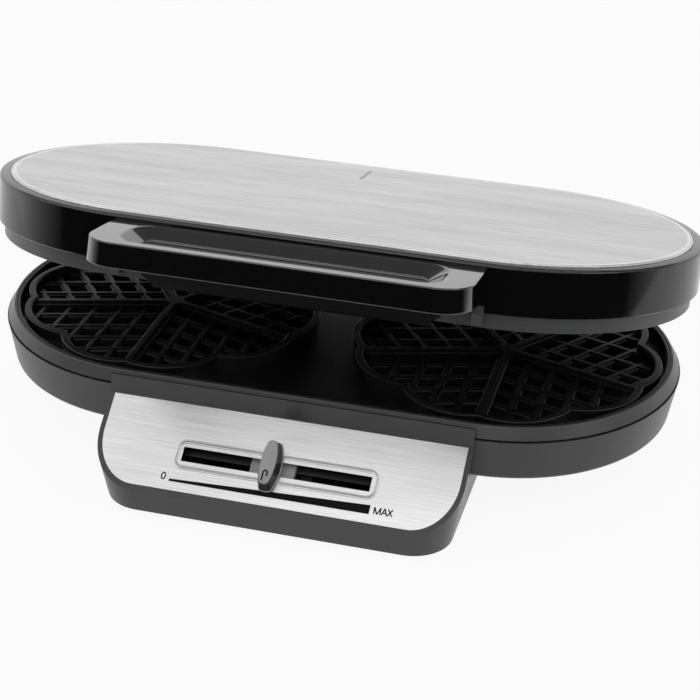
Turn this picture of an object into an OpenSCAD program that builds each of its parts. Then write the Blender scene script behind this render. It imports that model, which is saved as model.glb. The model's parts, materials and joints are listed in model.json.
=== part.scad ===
// Twin heart waffle maker: two cast cooking plates in an oval clamshell,
// a floating rear hinge, a loop handle and a front console with a slide control.
// Lengths are millimetres. The housings are described from the middle of the
// lower plate's rim plane and are then set down on their feet.

/* [Overall form] */
// Half the distance between the centres of the oval's round ends
half_straight = 94; // [84:1:110]
// Height of the feet under the stand
foot_h = 3; // [2:0.5:6]
// Wall of the plastic mouldings
wall = 2.5; // [1.8:0.1:3]
// Gap left between pieces of one assembly
seat_gap = 0.2; // [0.1:0.05:0.3]

/* [Cooking plates] */
// Distance from the waffles' walls to the outside of the lower plate's lip
lower_lip_margin = 3.9; // [3.4:0.1:6]
// Distance from the waffles' walls to the outside of the upper plate's lip
upper_lip_margin = 8; // [7:0.1:10]
// Thickness of the upstanding lip
lip_t = 1.4; // [1:0.1:2.4]
// Depth of the flat floor below the parting plane
floor_depth = 7; // [5:0.1:8]
// Thickness of the casting
casting_t = 3; // [2.5:0.1:4]
// Distance of each waffle's centre outside the centre of the oval's end
waffle_shift = 1.7; // [0:0.1:3]
// Radius of one lobe of the scalloped outline
lobe_r = 31.5; // [30:0.1:32]
// Distance of the lobes' centres from the waffle's centre
lobe_ring_r = 50.5; // [48:0.1:51]
// Half the angle between the two lobes of one heart
lobe_angle = 22; // [19:0.5:24]
// Width of the scalloped wall round the batter
cavity_wall = 2.5; // [1.6:0.1:3]
// Depth of the batter cavity
cavity_depth = 9; // [7:0.1:10]
// Width of the ribs that part the hearts
heart_rib_w = 2.6; // [1.6:0.1:4]
// Depth of those ribs' tops below the parting plane
heart_rib_depth = 2.5; // [1:0.1:4]
// Pitch of the diamond grid
grid_pitch = 13.6; // [11:0.1:18]
// Width of the grid's ribs
grid_rib_w = 1.8; // [1:0.1:3]
// Depth of the grid ribs' tops below the parting plane
grid_rib_depth = 4.6; // [3:0.1:6]
// Radius of the boss in the middle of each waffle
hub_r = 5; // [3:0.1:9]

/* [Lower housing] */
// Width from the plate's lip to the trim ring's top edge
trim_step = 1.9; // [1.7:0.1:3]
// How far the trim ring's face slopes out to its foot
trim_spread = 3.3; // [2:0.1:4]
// Height of the trim ring's visible face
trim_h = 5.9; // [4:0.1:6.2]
// How far the tub's top stands outside the trim ring's foot
tub_step = 0.7; // [0.5:0.1:2]
// Depth of the tub's top edge below the rim plane
tub_top_depth = 6.85; // [6.5:0.05:7.5]
// How far the tub's wall draws in to its foot
tub_draft = 3.5; // [2:0.1:6]
// Depth of the tub's underside below the rim plane
tub_depth = 30.8; // [29:0.1:33]
// Radius of the tub's lower edge
tub_edge_r = 3; // [2:0.5:5]

/* [Front console] */
// How far the console's sides stand outside the oval's straight part
console_overhang = 3.3; // [0:0.1:8]
// Distance of the console's riser in front of the tub
riser_step = 1.2; // [0.9:0.1:3]
// Depth of the riser's foot, where the fascia starts
riser_h = 10.2; // [8:0.1:12]
// Thickness of the riser
riser_t = 1.2; // [0.8:0.1:1.4]
// Distance of the console's front edge in front of the riser
console_reach = 41.9; // [38:0.1:48]
// Slope of the fascia
slope = 37; // [33:0.5:41]
// Corner radius of the console in plan
console_corner = 25.2; // [15:0.1:32]
// How far the walls draw in at the console's front and corners
front_draft = 3.6; // [2:0.1:5]
// How far the side walls draw in
side_draft = 5; // [3:0.1:6]
// Height of the stand under the tub
stand_h = 25.2; // [24:0.1:30]
// Distance of the stand's rear edge inside the tub's foot
stand_inset = 6.5; // [3:0.5:12]

/* [Fascia and slide control] */
// Width of the plastic rim round the fascia
fascia_rim = 2.6; // [1.5:0.1:5]
// Thickness of the steel fascia
fascia_t = 0.8; // [0.6:0.1:1.2]
// Thickness of the deck under the fascia
deck_t = 2.5; // [2:0.1:3]
// Distance of the slot from the fascia's upper edge, down the slope
slot_v = 28.6; // [27:0.1:30]
// Half the length of the slot
slot_half_l = 50; // [46:0.1:52]
// Half the width of the slot
slot_half_w = 4; // [3.6:0.1:4.5]
// Half the length of the pressed border round the slot
border_half_l = 54; // [53:0.1:58]
// Half the width of the pressed border
border_half_w = 8.3; // [7:0.1:9]
// Height of the pressed border
border_h = 0.5; // [0.3:0.05:0.6]
// Width of the pressed border
border_w = 2.2; // [0.8:0.1:3]
// Where the slider stands, from the middle of the slot
slider_x = -2.5; // [-40:0.5:40]
// Travel of the slider to each side of the middle
slider_travel = 44; // [36:0.5:44]
// Rise of the carriage's ramp for each millimetre of travel
ramp_rise = 0.045; // [0.03:0.005:0.05]
// Length of the knob's foot
knob_l = 27.6; // [20:0.5:30]
// Width of the knob's foot
knob_w = 11.8; // [8:0.1:13]
// How far the knob draws in from its foot to its top
knob_draft = 1.9; // [0.5:0.1:2.5]
// Height of the knob above the fascia
knob_h = 8.8; // [5:0.1:10]

/* [Lid] */
// How far the skirt stands outside the lid's trim ring
skirt_step = 3.5; // [3.2:0.1:5]
// Height of the skirt's lower edge above the parting plane
skirt_low = 8.5; // [8:0.1:9]
// Height of the skirt's upper edge
skirt_top = 32.8; // [32:0.1:36]
// Width from the upper plate's lip to the outside of the lid's trim ring
lid_trim_step = 2.1; // [2:0.1:3]
// Width of the skirt's shoulder round the steel cover
cover_inset = 5.9; // [4:0.1:9]
// Height of the steel cover's top above the skirt
cover_rise = 1.3; // [1.2:0.1:3]
// Radius of the steel cover's rolled edge
cover_edge = 0.9; // [0.5:0.1:1]
// How far the lid stands open at the hinge
lid_rest = 11.13; // [8:0.01:14]
// Gap between the plates' trims when the lid is shut
closed_gap = 0.4; // [0.3:0.05:0.6]

/* [Floating hinge] */
// Distance of the hinge pins behind the skirt
hinge_reach = 18.2; // [16.7:0.1:20]
// Height of the hinge pins above the rim plane
hinge_z = 7.8; // [7:0.1:9]
// Rise of the lid's rear edge in its slots, from shut to the resting pose
float_rest = 12.7; // [10:0.1:13]
// Travel left in the slots above the resting pose
float_more = 0.8; // [0.5:0.1:1]
// Radius of the hinge pins
pin_r = 2.5; // [2:0.05:3]
// Running clearance on the pins
pin_fit = 0.05; // [0.03:0.01:0.08]
// Distance of each hinge from the middle
hinge_x = 70; // [55:1:80]
// Width of the lid's hinge arms
arm_w = 12; // [9:0.5:14]
// Thickness of the housing's hinge ears
ear_t = 5; // [4:0.1:6]
// Side gap between an arm and its ears
hinge_side_gap = 0.3; // [0.2:0.05:0.5]

/* [Handle] */
// How far the handle's ends stand outside the oval's straight part
handle_overhang = 2.4; // [0:0.1:3.5]
// Distance of the handle's front face in front of the skirt
handle_reach = 47.1; // [40:0.1:54]
// Depth of the handle's top below the skirt's
handle_drop = 2.3; // [1:0.1:4]
// Thickness of the handle
handle_t = 12.5; // [11:0.1:14]
// How far the handle's outline spreads to its underside
handle_spread = 0.7; // [0:0.1:1.5]
// Corner radius of the handle
handle_corner = 17.5; // [12:0.5:22]
// Depth of the front bar from front to back
bar_depth = 7.4; // [7:0.1:12]
// Width of the handle's arms
handle_arm_w = 15.3; // [13:0.1:20]
// Distance of the grip block's ends inside the handle's
block_inset = 25.4; // [23:0.1:36]
// Distance of the grip block's nose in front of the skirt
block_reach = 15.2; // [13:0.1:18]
// Slant of the grip block's lower corners
block_slant = 6; // [3:0.5:8]

/* [Feet and outlet] */
// Radius of a rubber foot
foot_r = 7.5; // [6:0.1:10]
// Distance of the feet's middles inside the console's sides
foot_inset = 22.3; // [20:0.1:34]
// Distance of the front feet's middles behind the console's front
foot_front_inset = 27.1; // [22:0.1:34]
// Distance of the rear feet's middles inside the stand's rear
foot_rear_inset = 14; // [12:0.1:24]
// Radius of the bore in the cable gland
gland_bore = 3.6; // [3:0.05:4]

/* [Hidden] */

curve_fn = 96;
tiny = 0.02;

// Each ring of the lower half seats on the one inside it, out from the waffles.
waffle_x = half_straight + waffle_shift;
waffle_reach = waffle_shift + lobe_ring_r + lobe_r + cavity_wall;
lower_lip_r = waffle_reach + lower_lip_margin;
trim_top_r = lower_lip_r + trim_step;
trim_foot_r = trim_top_r + trim_spread;
tub_top_r = trim_foot_r + tub_step;
tub_foot_r = tub_top_r - tub_draft;
console_half_w = half_straight + console_overhang;
riser_y = tub_top_r + riser_step;
console_front = riser_y + console_reach;
console_depth = tub_depth + stand_h;
rim_z = console_depth + foot_h;
stand_rear = tub_foot_r - stand_inset;
foot_x = console_half_w - foot_inset;
foot_front = console_front - foot_front_inset;
foot_rear = stand_rear - foot_rear_inset;

// The lid's rings follow the upper plate in the same way.
upper_lip_r = waffle_reach + upper_lip_margin;
lid_trim_r = upper_lip_r + lid_trim_step;
skirt_r = lid_trim_r + skirt_step;
cover_r = skirt_r - cover_inset;
cover_top = skirt_top + cover_rise;
hinge_y = skirt_r + hinge_reach;
handle_half_w = half_straight + handle_overhang;
handle_front = skirt_r + handle_reach;
handle_top = skirt_top - handle_drop;
handle_low = handle_top - handle_t;
block_half_w = handle_half_w - block_inset;
block_front = skirt_r + block_reach;

// Longer than any piece, for cuts that pass right through.
reach = 2 * (half_straight + skirt_r);

// Closed pose of the lid: the pin sits at the upper end of the arm's slot.
pin_closed = hinge_z - closed_gap;
pin_rest = pin_closed - float_rest;
slot_low = pin_rest - float_more;
slot_high = pin_closed + seat_gap;
arm_r = pin_r + 3.1;
ear_r = pin_r + 4;

// Where the lid's own origin lies in the resting pose.
lid_y = hinge_y - (hinge_y * cos(lid_rest) + pin_rest * sin(lid_rest));
lid_z = hinge_z - (pin_rest * cos(lid_rest) - hinge_y * sin(lid_rest));

// The origin is under the middle of the whole object at rest.
arm_back = lid_y + hinge_y * cos(lid_rest) + slot_high * sin(lid_rest) + arm_r;
plate_y = (console_front - arm_back) / 2;

cavity_floor_t = 3.5;
heater_r = 3.2;
heater_path_r = lobe_ring_r + 1.5;
heater_low = cavity_depth + cavity_floor_t + heater_r + 0.15;
reflector_t = 0.7;
reflector_rise = 7;
reflector_slant = 6;
reflector_flange = 3;
reflector_depth = heater_low + heater_r + 2;
reflector_r = waffle_reach - 6.2;
post_r = 5;
post_depth = floor_depth + casting_t + 3;
ledge_r = waffle_reach + 0.5;
post_x = 20;
post_y = waffle_reach - 24.2;
post_xy = [[post_x, post_y], [-post_x, post_y], [post_x, -post_y], [-post_x, -post_y]];
screw_r = 1.6;
boss_x = console_half_w - 19.3;
boss_rear = stand_rear - 26;
boss_front = riser_y - 27.2;
boss_xy = [[boss_x, boss_rear], [-boss_x, boss_rear], [boss_x, -boss_front], [-boss_x, -boss_front]];
cover_t = 2;
well_t = 3.5;
well_r = 3.4;
tub_boss_h = tub_depth - reflector_depth - 1;
wire_hole = [44, 36];
wire_hole_y = -16;
// The sensor's bulb lies under the gap between the cavities, at their nearest lobes.
bulb_y = lobe_ring_r * sin(18 - lobe_angle);
bulb_half_l = waffle_x - lobe_ring_r - lobe_r - cavity_wall + 4;
capillary_clear = 9;
cover_screw_l = well_t + seat_gap + tub_boss_h - 1.45;
lamp_l = 5.6;
handle_screw_x = handle_half_w - handle_arm_w / 2;
handle_screw_z = handle_top - 6;
dish_z = handle_top - 4.3;
handle_screw_l = 14;
block_low = -0.5;
dish_ledge = 2;
tab_w = 5.6;
tab_x = handle_half_w - 2.4;
joint_x = tab_x - tab_w / 2 - 0.8;
cover_sheet = 1.6;
lamp_x = -5;
lamp_y = [skirt_r - 40.3, skirt_r - 27.3];
lens_l = 12.9;
lens_w = 1.6;
guide_over = 22;
guide_half_l = slot_half_l + guide_over;
carriage_half_l = 11.8;
carriage_t = 3;
column_w = 3.4;
column_l = 16;
rail_x = 2;
ramp_half_l = slider_travel + 2;
ramp_w = 5;
bracket_t = 1.5;
sensor_r = 2.4;
bracket_half_w = 10;
thermostat_size = [32, 20, 11];
thermostat_front = 7;
terminal_size = [40, 18, 16];
terminal_pitch = 12;
vent_size = [4, 44];
vent_pitch = 10;
vents = 7;

// Points along an arc about c.
function arc(c, r, a0, a1, n) =
    [for (i = [0:n]) c + r * [cos(a0 + (a1 - a0) * i / n), sin(a0 + (a1 - a0) * i / n)]];

// Frames.
module on_base() {
    translate([0, plate_y, rim_z]) children();
}
module on_lid() {
    on_base() translate([0, lid_y, lid_z]) rotate([-lid_rest, 0, 0]) children();
}
// The fascia's own frame: X along the slot, Y up the slope, Z out of the steel.
module on_fascia() {
    on_base() translate([0, -riser_y, -riser_h]) rotate([slope, 0, 0]) children();
}
module at_slot() {
    on_fascia() translate([0, -slot_v, 0]) children();
}

// Sweeps a profile of radius and height round the oval.
module oval(half = half_straight) {
    for (side = [-1, 1])
        translate([side * half, 0, 0])
            rotate([0, 0, side > 0 ? -90 : 90])
                rotate_extrude(angle = 180, $fn = curve_fn) children();
    translate([-half, 0, 0]) rotate([90, 0, 90]) linear_extrude(2 * half) {
        children();
        mirror([1, 0]) children();
    }
}
module rounded_2d(half_l, half_w, r) {
    square([2 * (half_l - r), 2 * half_w], center = true);
    square([2 * half_l, 2 * (half_w - r)], center = true);
    for (sx = [-1, 1], sy = [-1, 1])
        translate([sx * (half_l - r), sy * (half_w - r)]) circle(r, $fn = 32);
}

// Ten lobes, two to each of the five hearts.
module lobes_2d(extra = 0) {
    for (k = [0:4], s = [-1, 1])
        rotate(-54 + 72 * k + s * lobe_angle)
            translate([lobe_ring_r, 0]) circle(lobe_r + extra, $fn = 64);
    circle(lobe_ring_r, $fn = 64);
}
// Ribs between two hearts, from the hub to a notch of the outline.
module heart_ribs_2d() {
    for (k = [0:4])
        rotate(-90 + 72 * k) translate([0, -heart_rib_w / 2])
            square([lobe_ring_r + lobe_r, heart_rib_w]);
    circle(hub_r, $fn = 32);
}
// One heart's share of the waffle.
module wedge_2d() {
    l = 1.5 * (lobe_ring_r + lobe_r);
    polygon([[0, 0], l * [cos(36), -sin(36)], [l / cos(36), 0], l * [cos(36), sin(36)]]);
}
// Two families of ribs, each parallel to one side of the wedge.
module grid_2d() {
    lines = floor((lobe_ring_r + lobe_r) / grid_pitch);
    intersection() {
        wedge_2d();
        for (s = [-1, 1], i = [1:lines])
            rotate(s * 36) translate([0, -s * i * grid_pitch - grid_rib_w / 2])
                square([2 * lobe_ring_r + lobe_r, grid_rib_w]);
    }
}

// Everything that is cast on the batter side of one waffle, parting plane at 0.
module waffle_cavity() {
    difference() {
        translate([0, 0, -cavity_depth - cavity_floor_t])
            linear_extrude(cavity_depth + cavity_floor_t - seat_gap) lobes_2d(cavity_wall);
        translate([0, 0, -cavity_depth]) linear_extrude(cavity_depth + 1) lobes_2d();
    }
    intersection() {
        translate([0, 0, -cavity_depth - 1]) linear_extrude(cavity_depth + 1) lobes_2d(0.5);
        union() {
            translate([0, 0, -cavity_depth - 1])
                linear_extrude(cavity_depth + 1 - heart_rib_depth) heart_ribs_2d();
            translate([0, 0, -cavity_depth - 1])
                linear_extrude(cavity_depth + 1 - grid_rib_depth)
                    for (k = [0:4]) rotate(-54 + 72 * k) grid_2d();
        }
    }
}
module cooking_plate(lip_r) {
    difference() {
        union() {
            oval() polygon([
                [0, -floor_depth - casting_t], [lip_r - 1, -floor_depth - casting_t],
                [lip_r, -floor_depth - casting_t + 1], [lip_r, -seat_gap],
                [lip_r - lip_t, -seat_gap], [lip_r - lip_t - 1, -floor_depth + 1],
                [lip_r - lip_t - 2, -floor_depth], [0, -floor_depth]
            ]);
            for (xy = post_xy)
                translate([xy[0], xy[1], -floor_depth - casting_t - 3])
                    cylinder(h = 4, r = post_r, $fn = 32);
        }
        for (side = [-1, 1])
            translate([side * waffle_x, 0, -cavity_depth]) linear_extrude(20) lobes_2d(1);
        for (xy = post_xy)
            translate([xy[0], xy[1], -floor_depth - casting_t - 4])
                cylinder(h = 5, r = screw_r, $fn = 32);
    }
    for (side = [-1, 1]) translate([side * waffle_x, 0, 0]) waffle_cavity();
}
module heater() {
    oval(half_straight) translate([heater_path_r, -heater_low]) circle(heater_r, $fn = 32);
    for (x = [-6, 6])
        translate([x, heater_path_r, -heater_low]) rotate([-90, 0, 0])
            cylinder(h = 22, r = 1.6, $fn = 24);
}
module reflector() {
    low = -reflector_depth;
    edge = low + reflector_rise;
    difference() {
        oval() polygon([
            [0, low], [reflector_r - reflector_slant, low], [reflector_r, edge],
            [reflector_r + reflector_flange, edge], [reflector_r + reflector_flange, edge + reflector_t],
            [reflector_r - 0.4, edge + reflector_t],
            [reflector_r - reflector_slant - 0.4, low + reflector_t], [0, low + reflector_t]
        ]);
        for (xy = post_xy)
            translate([xy[0], xy[1], -reflector_depth - 1])
                cylinder(h = 3, r = post_r + 0.4, $fn = 32);
        translate([-wire_hole[0] / 2, wire_hole_y - wire_hole[1] / 2, -reflector_depth - 1])
            cube([wire_hole[0], wire_hole[1], 3]);
    }
}
module plate_screw(top, l) {
    translate([0, 0, top - l]) cylinder(h = l, r = screw_r - 0.1, $fn = 24);
    translate([0, 0, top - l - 2]) cylinder(h = 2, r = 3, $fn = 24);
}

// ---- Lower half ----
module across(x0, w) {
    translate([x0, 0, 0]) rotate([90, 0, 90]) linear_extrude(w) children();
}
module base_tub() {
    low = -tub_depth;
    ledge = -floor_depth - casting_t - seat_gap;
    color([0.27, 0.27, 0.28]) on_base() {
        difference() {
            union() {
                oval() polygon(concat(
                    [[0, low]],
                    arc([tub_foot_r - tub_edge_r, low + tub_edge_r], tub_edge_r, -90, -10, 5),
                    [
                        [tub_top_r, -tub_top_depth], [tub_top_r - wall, -tub_top_depth],
                        [tub_top_r - wall - 0.2, ledge + 1], [tub_top_r - wall - 0.2, ledge],
                        [ledge_r, ledge], [ledge_r, ledge - 1.6],
                        [tub_top_r - wall - 1, ledge - 4.5],
                        [tub_foot_r - wall, low + tub_edge_r + 1],
                        [tub_foot_r - wall - 2, low + wall], [0, low + wall]
                    ]
                ));
                for (xy = post_xy)
                    translate([xy[0], xy[1], low + 0.5]) {
                        cylinder(h = tub_depth - 0.5 - post_depth - seat_gap, r = post_r, $fn = 32);
                        cylinder(h = tub_depth - 0.5 - reflector_depth - seat_gap,
                            r = post_r + 2, $fn = 32);
                    }
                for (xy = boss_xy)
                    translate([xy[0], xy[1], low + 0.5])
                        cylinder(h = tub_boss_h, r = post_r, $fn = 32);
            }
            for (xy = post_xy)
                translate([xy[0], xy[1], low - 1])
                    cylinder(h = tub_depth, r = screw_r, $fn = 32);
            for (xy = post_xy)
                translate([xy[0], xy[1], low - 1]) cylinder(h = 4, r = 3.6, $fn = 32);
            for (xy = boss_xy)
                translate([xy[0], xy[1], low - 1]) cylinder(h = tub_boss_h, r = screw_r, $fn = 32);
            translate([-wire_hole[0] / 2, wire_hole_y - wire_hole[1] / 2, low - 1])
                cube([wire_hole[0], wire_hole[1], 6]);
            translate([0, tub_foot_r - 10, gland_z]) rotate([-90, 0, 0])
                cylinder(h = 30, r = gland_r + seat_gap, $fn = 48);
        }
    }
}
module lower_trim_ring() {
    ledge = -floor_depth - casting_t - seat_gap;
    color([0.32, 0.32, 0.33]) on_base() oval() polygon([
        [trim_top_r - 1.6, 0], [trim_top_r - 0.3, 0], [trim_top_r, -0.3],
        [trim_foot_r, -trim_h], [tub_top_r - wall - 0.5, -trim_h],
        [tub_top_r - wall - 0.5, ledge + 0.3], [lower_lip_r + 0.3, ledge + 0.3],
        [lower_lip_r + 0.3, -trim_h]
    ]);
}
module lower_plate() {
    color([0.1, 0.1, 0.11]) on_base() cooking_plate(lower_lip_r);
}
module lower_heater() {
    color([0.45, 0.45, 0.46]) on_base() heater();
}
module lower_reflector() {
    color([0.78, 0.78, 0.8]) on_base() reflector();
}
module lower_plate_screws() {
    top = -floor_depth - casting_t + 0.5;
    color([0.7, 0.7, 0.72]) on_base() for (xy = post_xy)
        translate([xy[0], xy[1], 0]) plate_screw(top, tub_depth + top - 2.8);
}
module thermal_fuse() {
    color([0.8, 0.78, 0.7]) on_base()
        translate([-9, 22, -floor_depth - casting_t - 3.1]) {
            rotate([0, 90, 0]) cylinder(h = 18, r = 2.6, $fn = 32);
            translate([6, -6, 2.2]) cube([6, 12, 0.7]);
        }
}

gland_z = -20.5;
gland_r = 5.5;
gland_l = 16;
module cable_gland() {
    color([0.08, 0.08, 0.08]) on_base()
        translate([0, tub_foot_r - 5, gland_z]) rotate([-90, 0, 0]) difference() {
            union() {
                cylinder(h = gland_l - 0.4, r = gland_r, $fn = 48);
                cylinder(h = 2, r = gland_r + 1, $fn = 48);
                translate([0, 0, 7.8])
                    cylinder(h = gland_l - 7.8, r1 = gland_r + 1.6, r2 = gland_r - 0.6, $fn = 48);
            }
            translate([0, 0, -1]) cylinder(h = gland_l + 2, r = gland_bore, $fn = 48);
        }
}

// Console outline in plan, drawn in by inset, open towards the rear.
module console_2d(side_inset, front_inset, rear) {
    w = console_half_w - side_inset;
    front = console_front - front_inset;
    r = console_corner - front_inset;
    intersection() {
        translate([-w, -front]) square([2 * w, front + rear]);
        union() {
            translate([-w, -front + r]) square([2 * w, front - r + rear]);
            translate([-w + r, -front]) square([2 * (w - r), r + 1]);
            for (s = [-1, 1]) translate([s * (w - r), -front + r]) circle(r, $fn = 64);
        }
    }
}
// A thin sheet of the console's outline, lying in the fascia's plane at depth n.
module sloped_sheet(side_inset, front_inset, rear, n, t) {
    intersection() {
        translate([0, 0, -reach / 2]) linear_extrude(reach) console_2d(side_inset, front_inset, rear);
        translate([0, -riser_y, -riser_h]) rotate([slope, 0, 0])
            translate([-reach / 2, -reach / 2, n]) cube([reach, reach, t]);
    }
}
module stand_2d(inset) {
    w = console_half_w - inset;
    y = stand_rear - inset / 2;
    r = 24;
    translate([-w, -riser_y + 3]) square([2 * w, riser_y - 3 + y - r]);
    translate([-w + r, 0]) square([2 * (w - r), y]);
    for (s = [-1, 1]) translate([s * (w - r), y - r]) circle(r, $fn = 48);
}
module console_housing() {
    bottom = -console_depth;
    stand_top = -tub_depth - seat_gap;
    side_at_top = side_draft * (tub_depth - riser_h) / (console_depth - riser_h);
    inner_n = -fascia_t - deck_t;
    color([0.24, 0.24, 0.25]) on_base() {
        difference() {
            union() {
                hull() {
                    sloped_sheet(0, 0, -riser_y + 8, -tiny, tiny);
                    translate([0, 0, bottom])
                        linear_extrude(tiny) console_2d(side_draft, front_draft, -riser_y + 8);
                }
                hull() {
                    translate([0, 0, stand_top - tiny]) linear_extrude(tiny) stand_2d(side_at_top);
                    translate([0, 0, bottom]) linear_extrude(tiny) stand_2d(side_draft);
                }
                translate([-console_half_w, -riser_y, -riser_h - 4])
                    cube([2 * console_half_w, riser_t, riser_h + 4]);
            }
            hull() {
                sloped_sheet(wall, wall, -riser_y - 1.5, inner_n, tiny);
                translate([0, 0, bottom - 1])
                    linear_extrude(tiny)
                        console_2d(side_draft + wall, front_draft + wall, -riser_y + 20);
            }
            hull() {
                translate([0, 0, stand_top + 1]) linear_extrude(tiny) stand_2d(side_at_top + wall);
                translate([0, 0, bottom - 1]) linear_extrude(tiny) stand_2d(side_draft + wall);
            }
            sloped_sheet(fascia_rim - 0.1, fascia_rim - 0.1, -riser_y - 0.6, -fascia_t, 3);
            oval() polygon([
                [0, -tub_depth - seat_gap], [tub_foot_r + seat_gap, -tub_depth - seat_gap],
                [tub_top_r + seat_gap, -tub_top_depth], [tub_top_r + seat_gap - 0.1, 3], [0, 3]
            ]);
            translate([0, -riser_y, -riser_h]) rotate([slope, 0, 0])
                translate([-slot_half_l - 2, -slot_v - slot_half_w - 2, -8])
                    cube([2 * slot_half_l + 4, 2 * slot_half_w + 4, 12]);
        }
    }
}
module fascia_plate() {
    color([0.78, 0.78, 0.79]) {
        on_base() difference() {
            sloped_sheet(fascia_rim, fascia_rim, -riser_y - 0.7, -fascia_t + 0.1, fascia_t - 0.1);
            translate([0, -riser_y, -riser_h]) rotate([slope, 0, 0])
                translate([-slot_half_l, -slot_v - slot_half_w, -3])
                    cube([2 * slot_half_l, 2 * slot_half_w, 6]);
        }
        at_slot() translate([0, 0, -0.2]) linear_extrude(border_h + 0.2) difference() {
            rounded_2d(border_half_l, border_half_w, 5.5);
            rounded_2d(border_half_l - border_w, border_half_w - border_w, 5.5 - border_w);
        }
    }
}
// Depths in the fascia's frame, below the steel.
deck_low = fascia_t + deck_t + seat_gap;
carriage_top = deck_low + 0.5;
carriage_low = carriage_top + carriage_t;
lip_top = carriage_low + 0.3;
rail_low = lip_top + 1.2;
ramp_top = rail_low + 0.6;
ramp_mid = ramp_top + 1 + ramp_rise * ramp_half_l;
rail_gap_half = slot_half_w + 2.4;
rail_lip = rail_gap_half - column_w / 2 - 0.3;
ramp_y = rail_gap_half + 1.5;
module slider_guide() {
    color([0.15, 0.15, 0.16]) at_slot() {
        for (s = [-1, 1])
            translate([-guide_half_l, s * (rail_gap_half + rail_x / 2) - rail_x / 2, -rail_low])
                cube([2 * guide_half_l, rail_x, rail_low - deck_low]);
        for (s = [-1, 1])
            translate([-guide_half_l, s * (rail_gap_half - rail_lip / 2) - rail_lip / 2, -rail_low])
                cube([2 * guide_half_l, rail_lip, rail_low - lip_top]);
        for (s = [-1, 1])
            translate([s * (guide_half_l - 2) - 2, -rail_gap_half, -rail_low])
                cube([4, 2 * rail_gap_half, rail_low - deck_low]);
    }
}
module slider_carriage() {
    color([0.5, 0.5, 0.51]) at_slot() translate([slider_x, 0, 0]) {
        translate([-carriage_half_l, -rail_gap_half + 0.3, -carriage_low])
            cube([2 * carriage_half_l, 2 * rail_gap_half - 0.6, carriage_t]);
        translate([-4, -slot_half_w + 0.4, -carriage_top - 0.5])
            cube([8, 2 * slot_half_w - 0.8, carriage_top + 0.5 + border_h + 0.3]);
        translate([-column_l / 2, -column_w / 2, -ramp_top - 1.2])
            cube([column_l, column_w, ramp_top + 1.2 - carriage_low + 0.5]);
        translate([-column_l / 2, -column_w / 2, -ramp_top - 1.2])
            cube([column_l, ramp_y + column_w / 2 + ramp_w, 1.2]);
        translate([0, ramp_y + ramp_w, 0]) rotate([90, 0, 0]) linear_extrude(ramp_w) polygon([
            [-ramp_half_l, -ramp_top], [ramp_half_l, -ramp_top],
            [ramp_half_l, -ramp_mid - 1.2 - ramp_rise * ramp_half_l],
            [-ramp_half_l, -ramp_mid - 1.2 + ramp_rise * ramp_half_l]
        ]);
    }
}
module knob_blade_2d(l, w) {
    hull() for (s = [-1, 1]) translate([0, s * (l - w * 0.7) / 2]) circle(w * 0.35, $fn = 32);
    intersection_for (s = [-1, 1])
        translate([s * (l * l / (4 * w) - w / 4), 0]) circle(l * l / (4 * w) + w / 4, $fn = 128);
}
module slider_knob() {
    low = border_h + 0.4;
    top_l = knob_l - 2 * knob_draft;
    top_w = knob_w - 2 * knob_draft;
    color([0.45, 0.45, 0.46]) at_slot() translate([slider_x, 0, low]) hull() {
        linear_extrude(1) knob_blade_2d(knob_l, knob_w);
        translate([0, 0, knob_h - low - 0.8]) linear_extrude(tiny) knob_blade_2d(top_l, top_w);
        translate([0, 0, knob_h - low - tiny])
            linear_extrude(tiny) knob_blade_2d(top_l - 1, top_w - 1);
    }
}
body_top = ramp_mid + 1.2 + ramp_rise * ramp_half_l + 1;
module at_plunger() {
    at_slot() translate([0, ramp_y + ramp_w / 2, 0]) children();
}
module thermostat_body() {
    color([0.85, 0.83, 0.78]) at_plunger() difference() {
        union() {
            translate([
                -thermostat_size[0] / 2, thermostat_front - thermostat_size[1],
                -body_top - thermostat_size[2]
            ])
                cube(thermostat_size);
            translate([0, 0, -body_top - 1]) cylinder(h = 1.6, r = 4, $fn = 48);
        }
        translate([0, 0, -body_top - thermostat_size[2] + 1.5])
            cylinder(h = 20, r = 2 + pin_fit, $fn = 48);
    }
}
// Z-shaped strap: a leg under the deck and a shelf that carries the thermostat.
module thermostat_bracket() {
    shelf = body_top - 0.15;
    leg_y = -rail_gap_half - rail_x - bracket_t - 1.6;
    color([0.68, 0.68, 0.7]) at_slot() {
        translate([-bracket_half_w, leg_y, -shelf])
            cube([2 * bracket_half_w, bracket_t, shelf - deck_low]);
        translate([-bracket_half_w, leg_y, -shelf])
            cube([2 * bracket_half_w, ramp_y - 1.9 - leg_y, bracket_t]);
        translate([-bracket_half_w, leg_y - 6, -deck_low - bracket_t])
            cube([2 * bracket_half_w, 6 + bracket_t, bracket_t]);
    }
}
module thermostat_plunger() {
    tip = ramp_mid + 1.2 - ramp_rise * slider_x + 0.3;
    color([0.8, 0.65, 0.3]) at_plunger() translate([0, 0, -body_top - 6])
        cylinder(h = body_top + 6 - tip, r = 2, $fn = 48);
}
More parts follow.
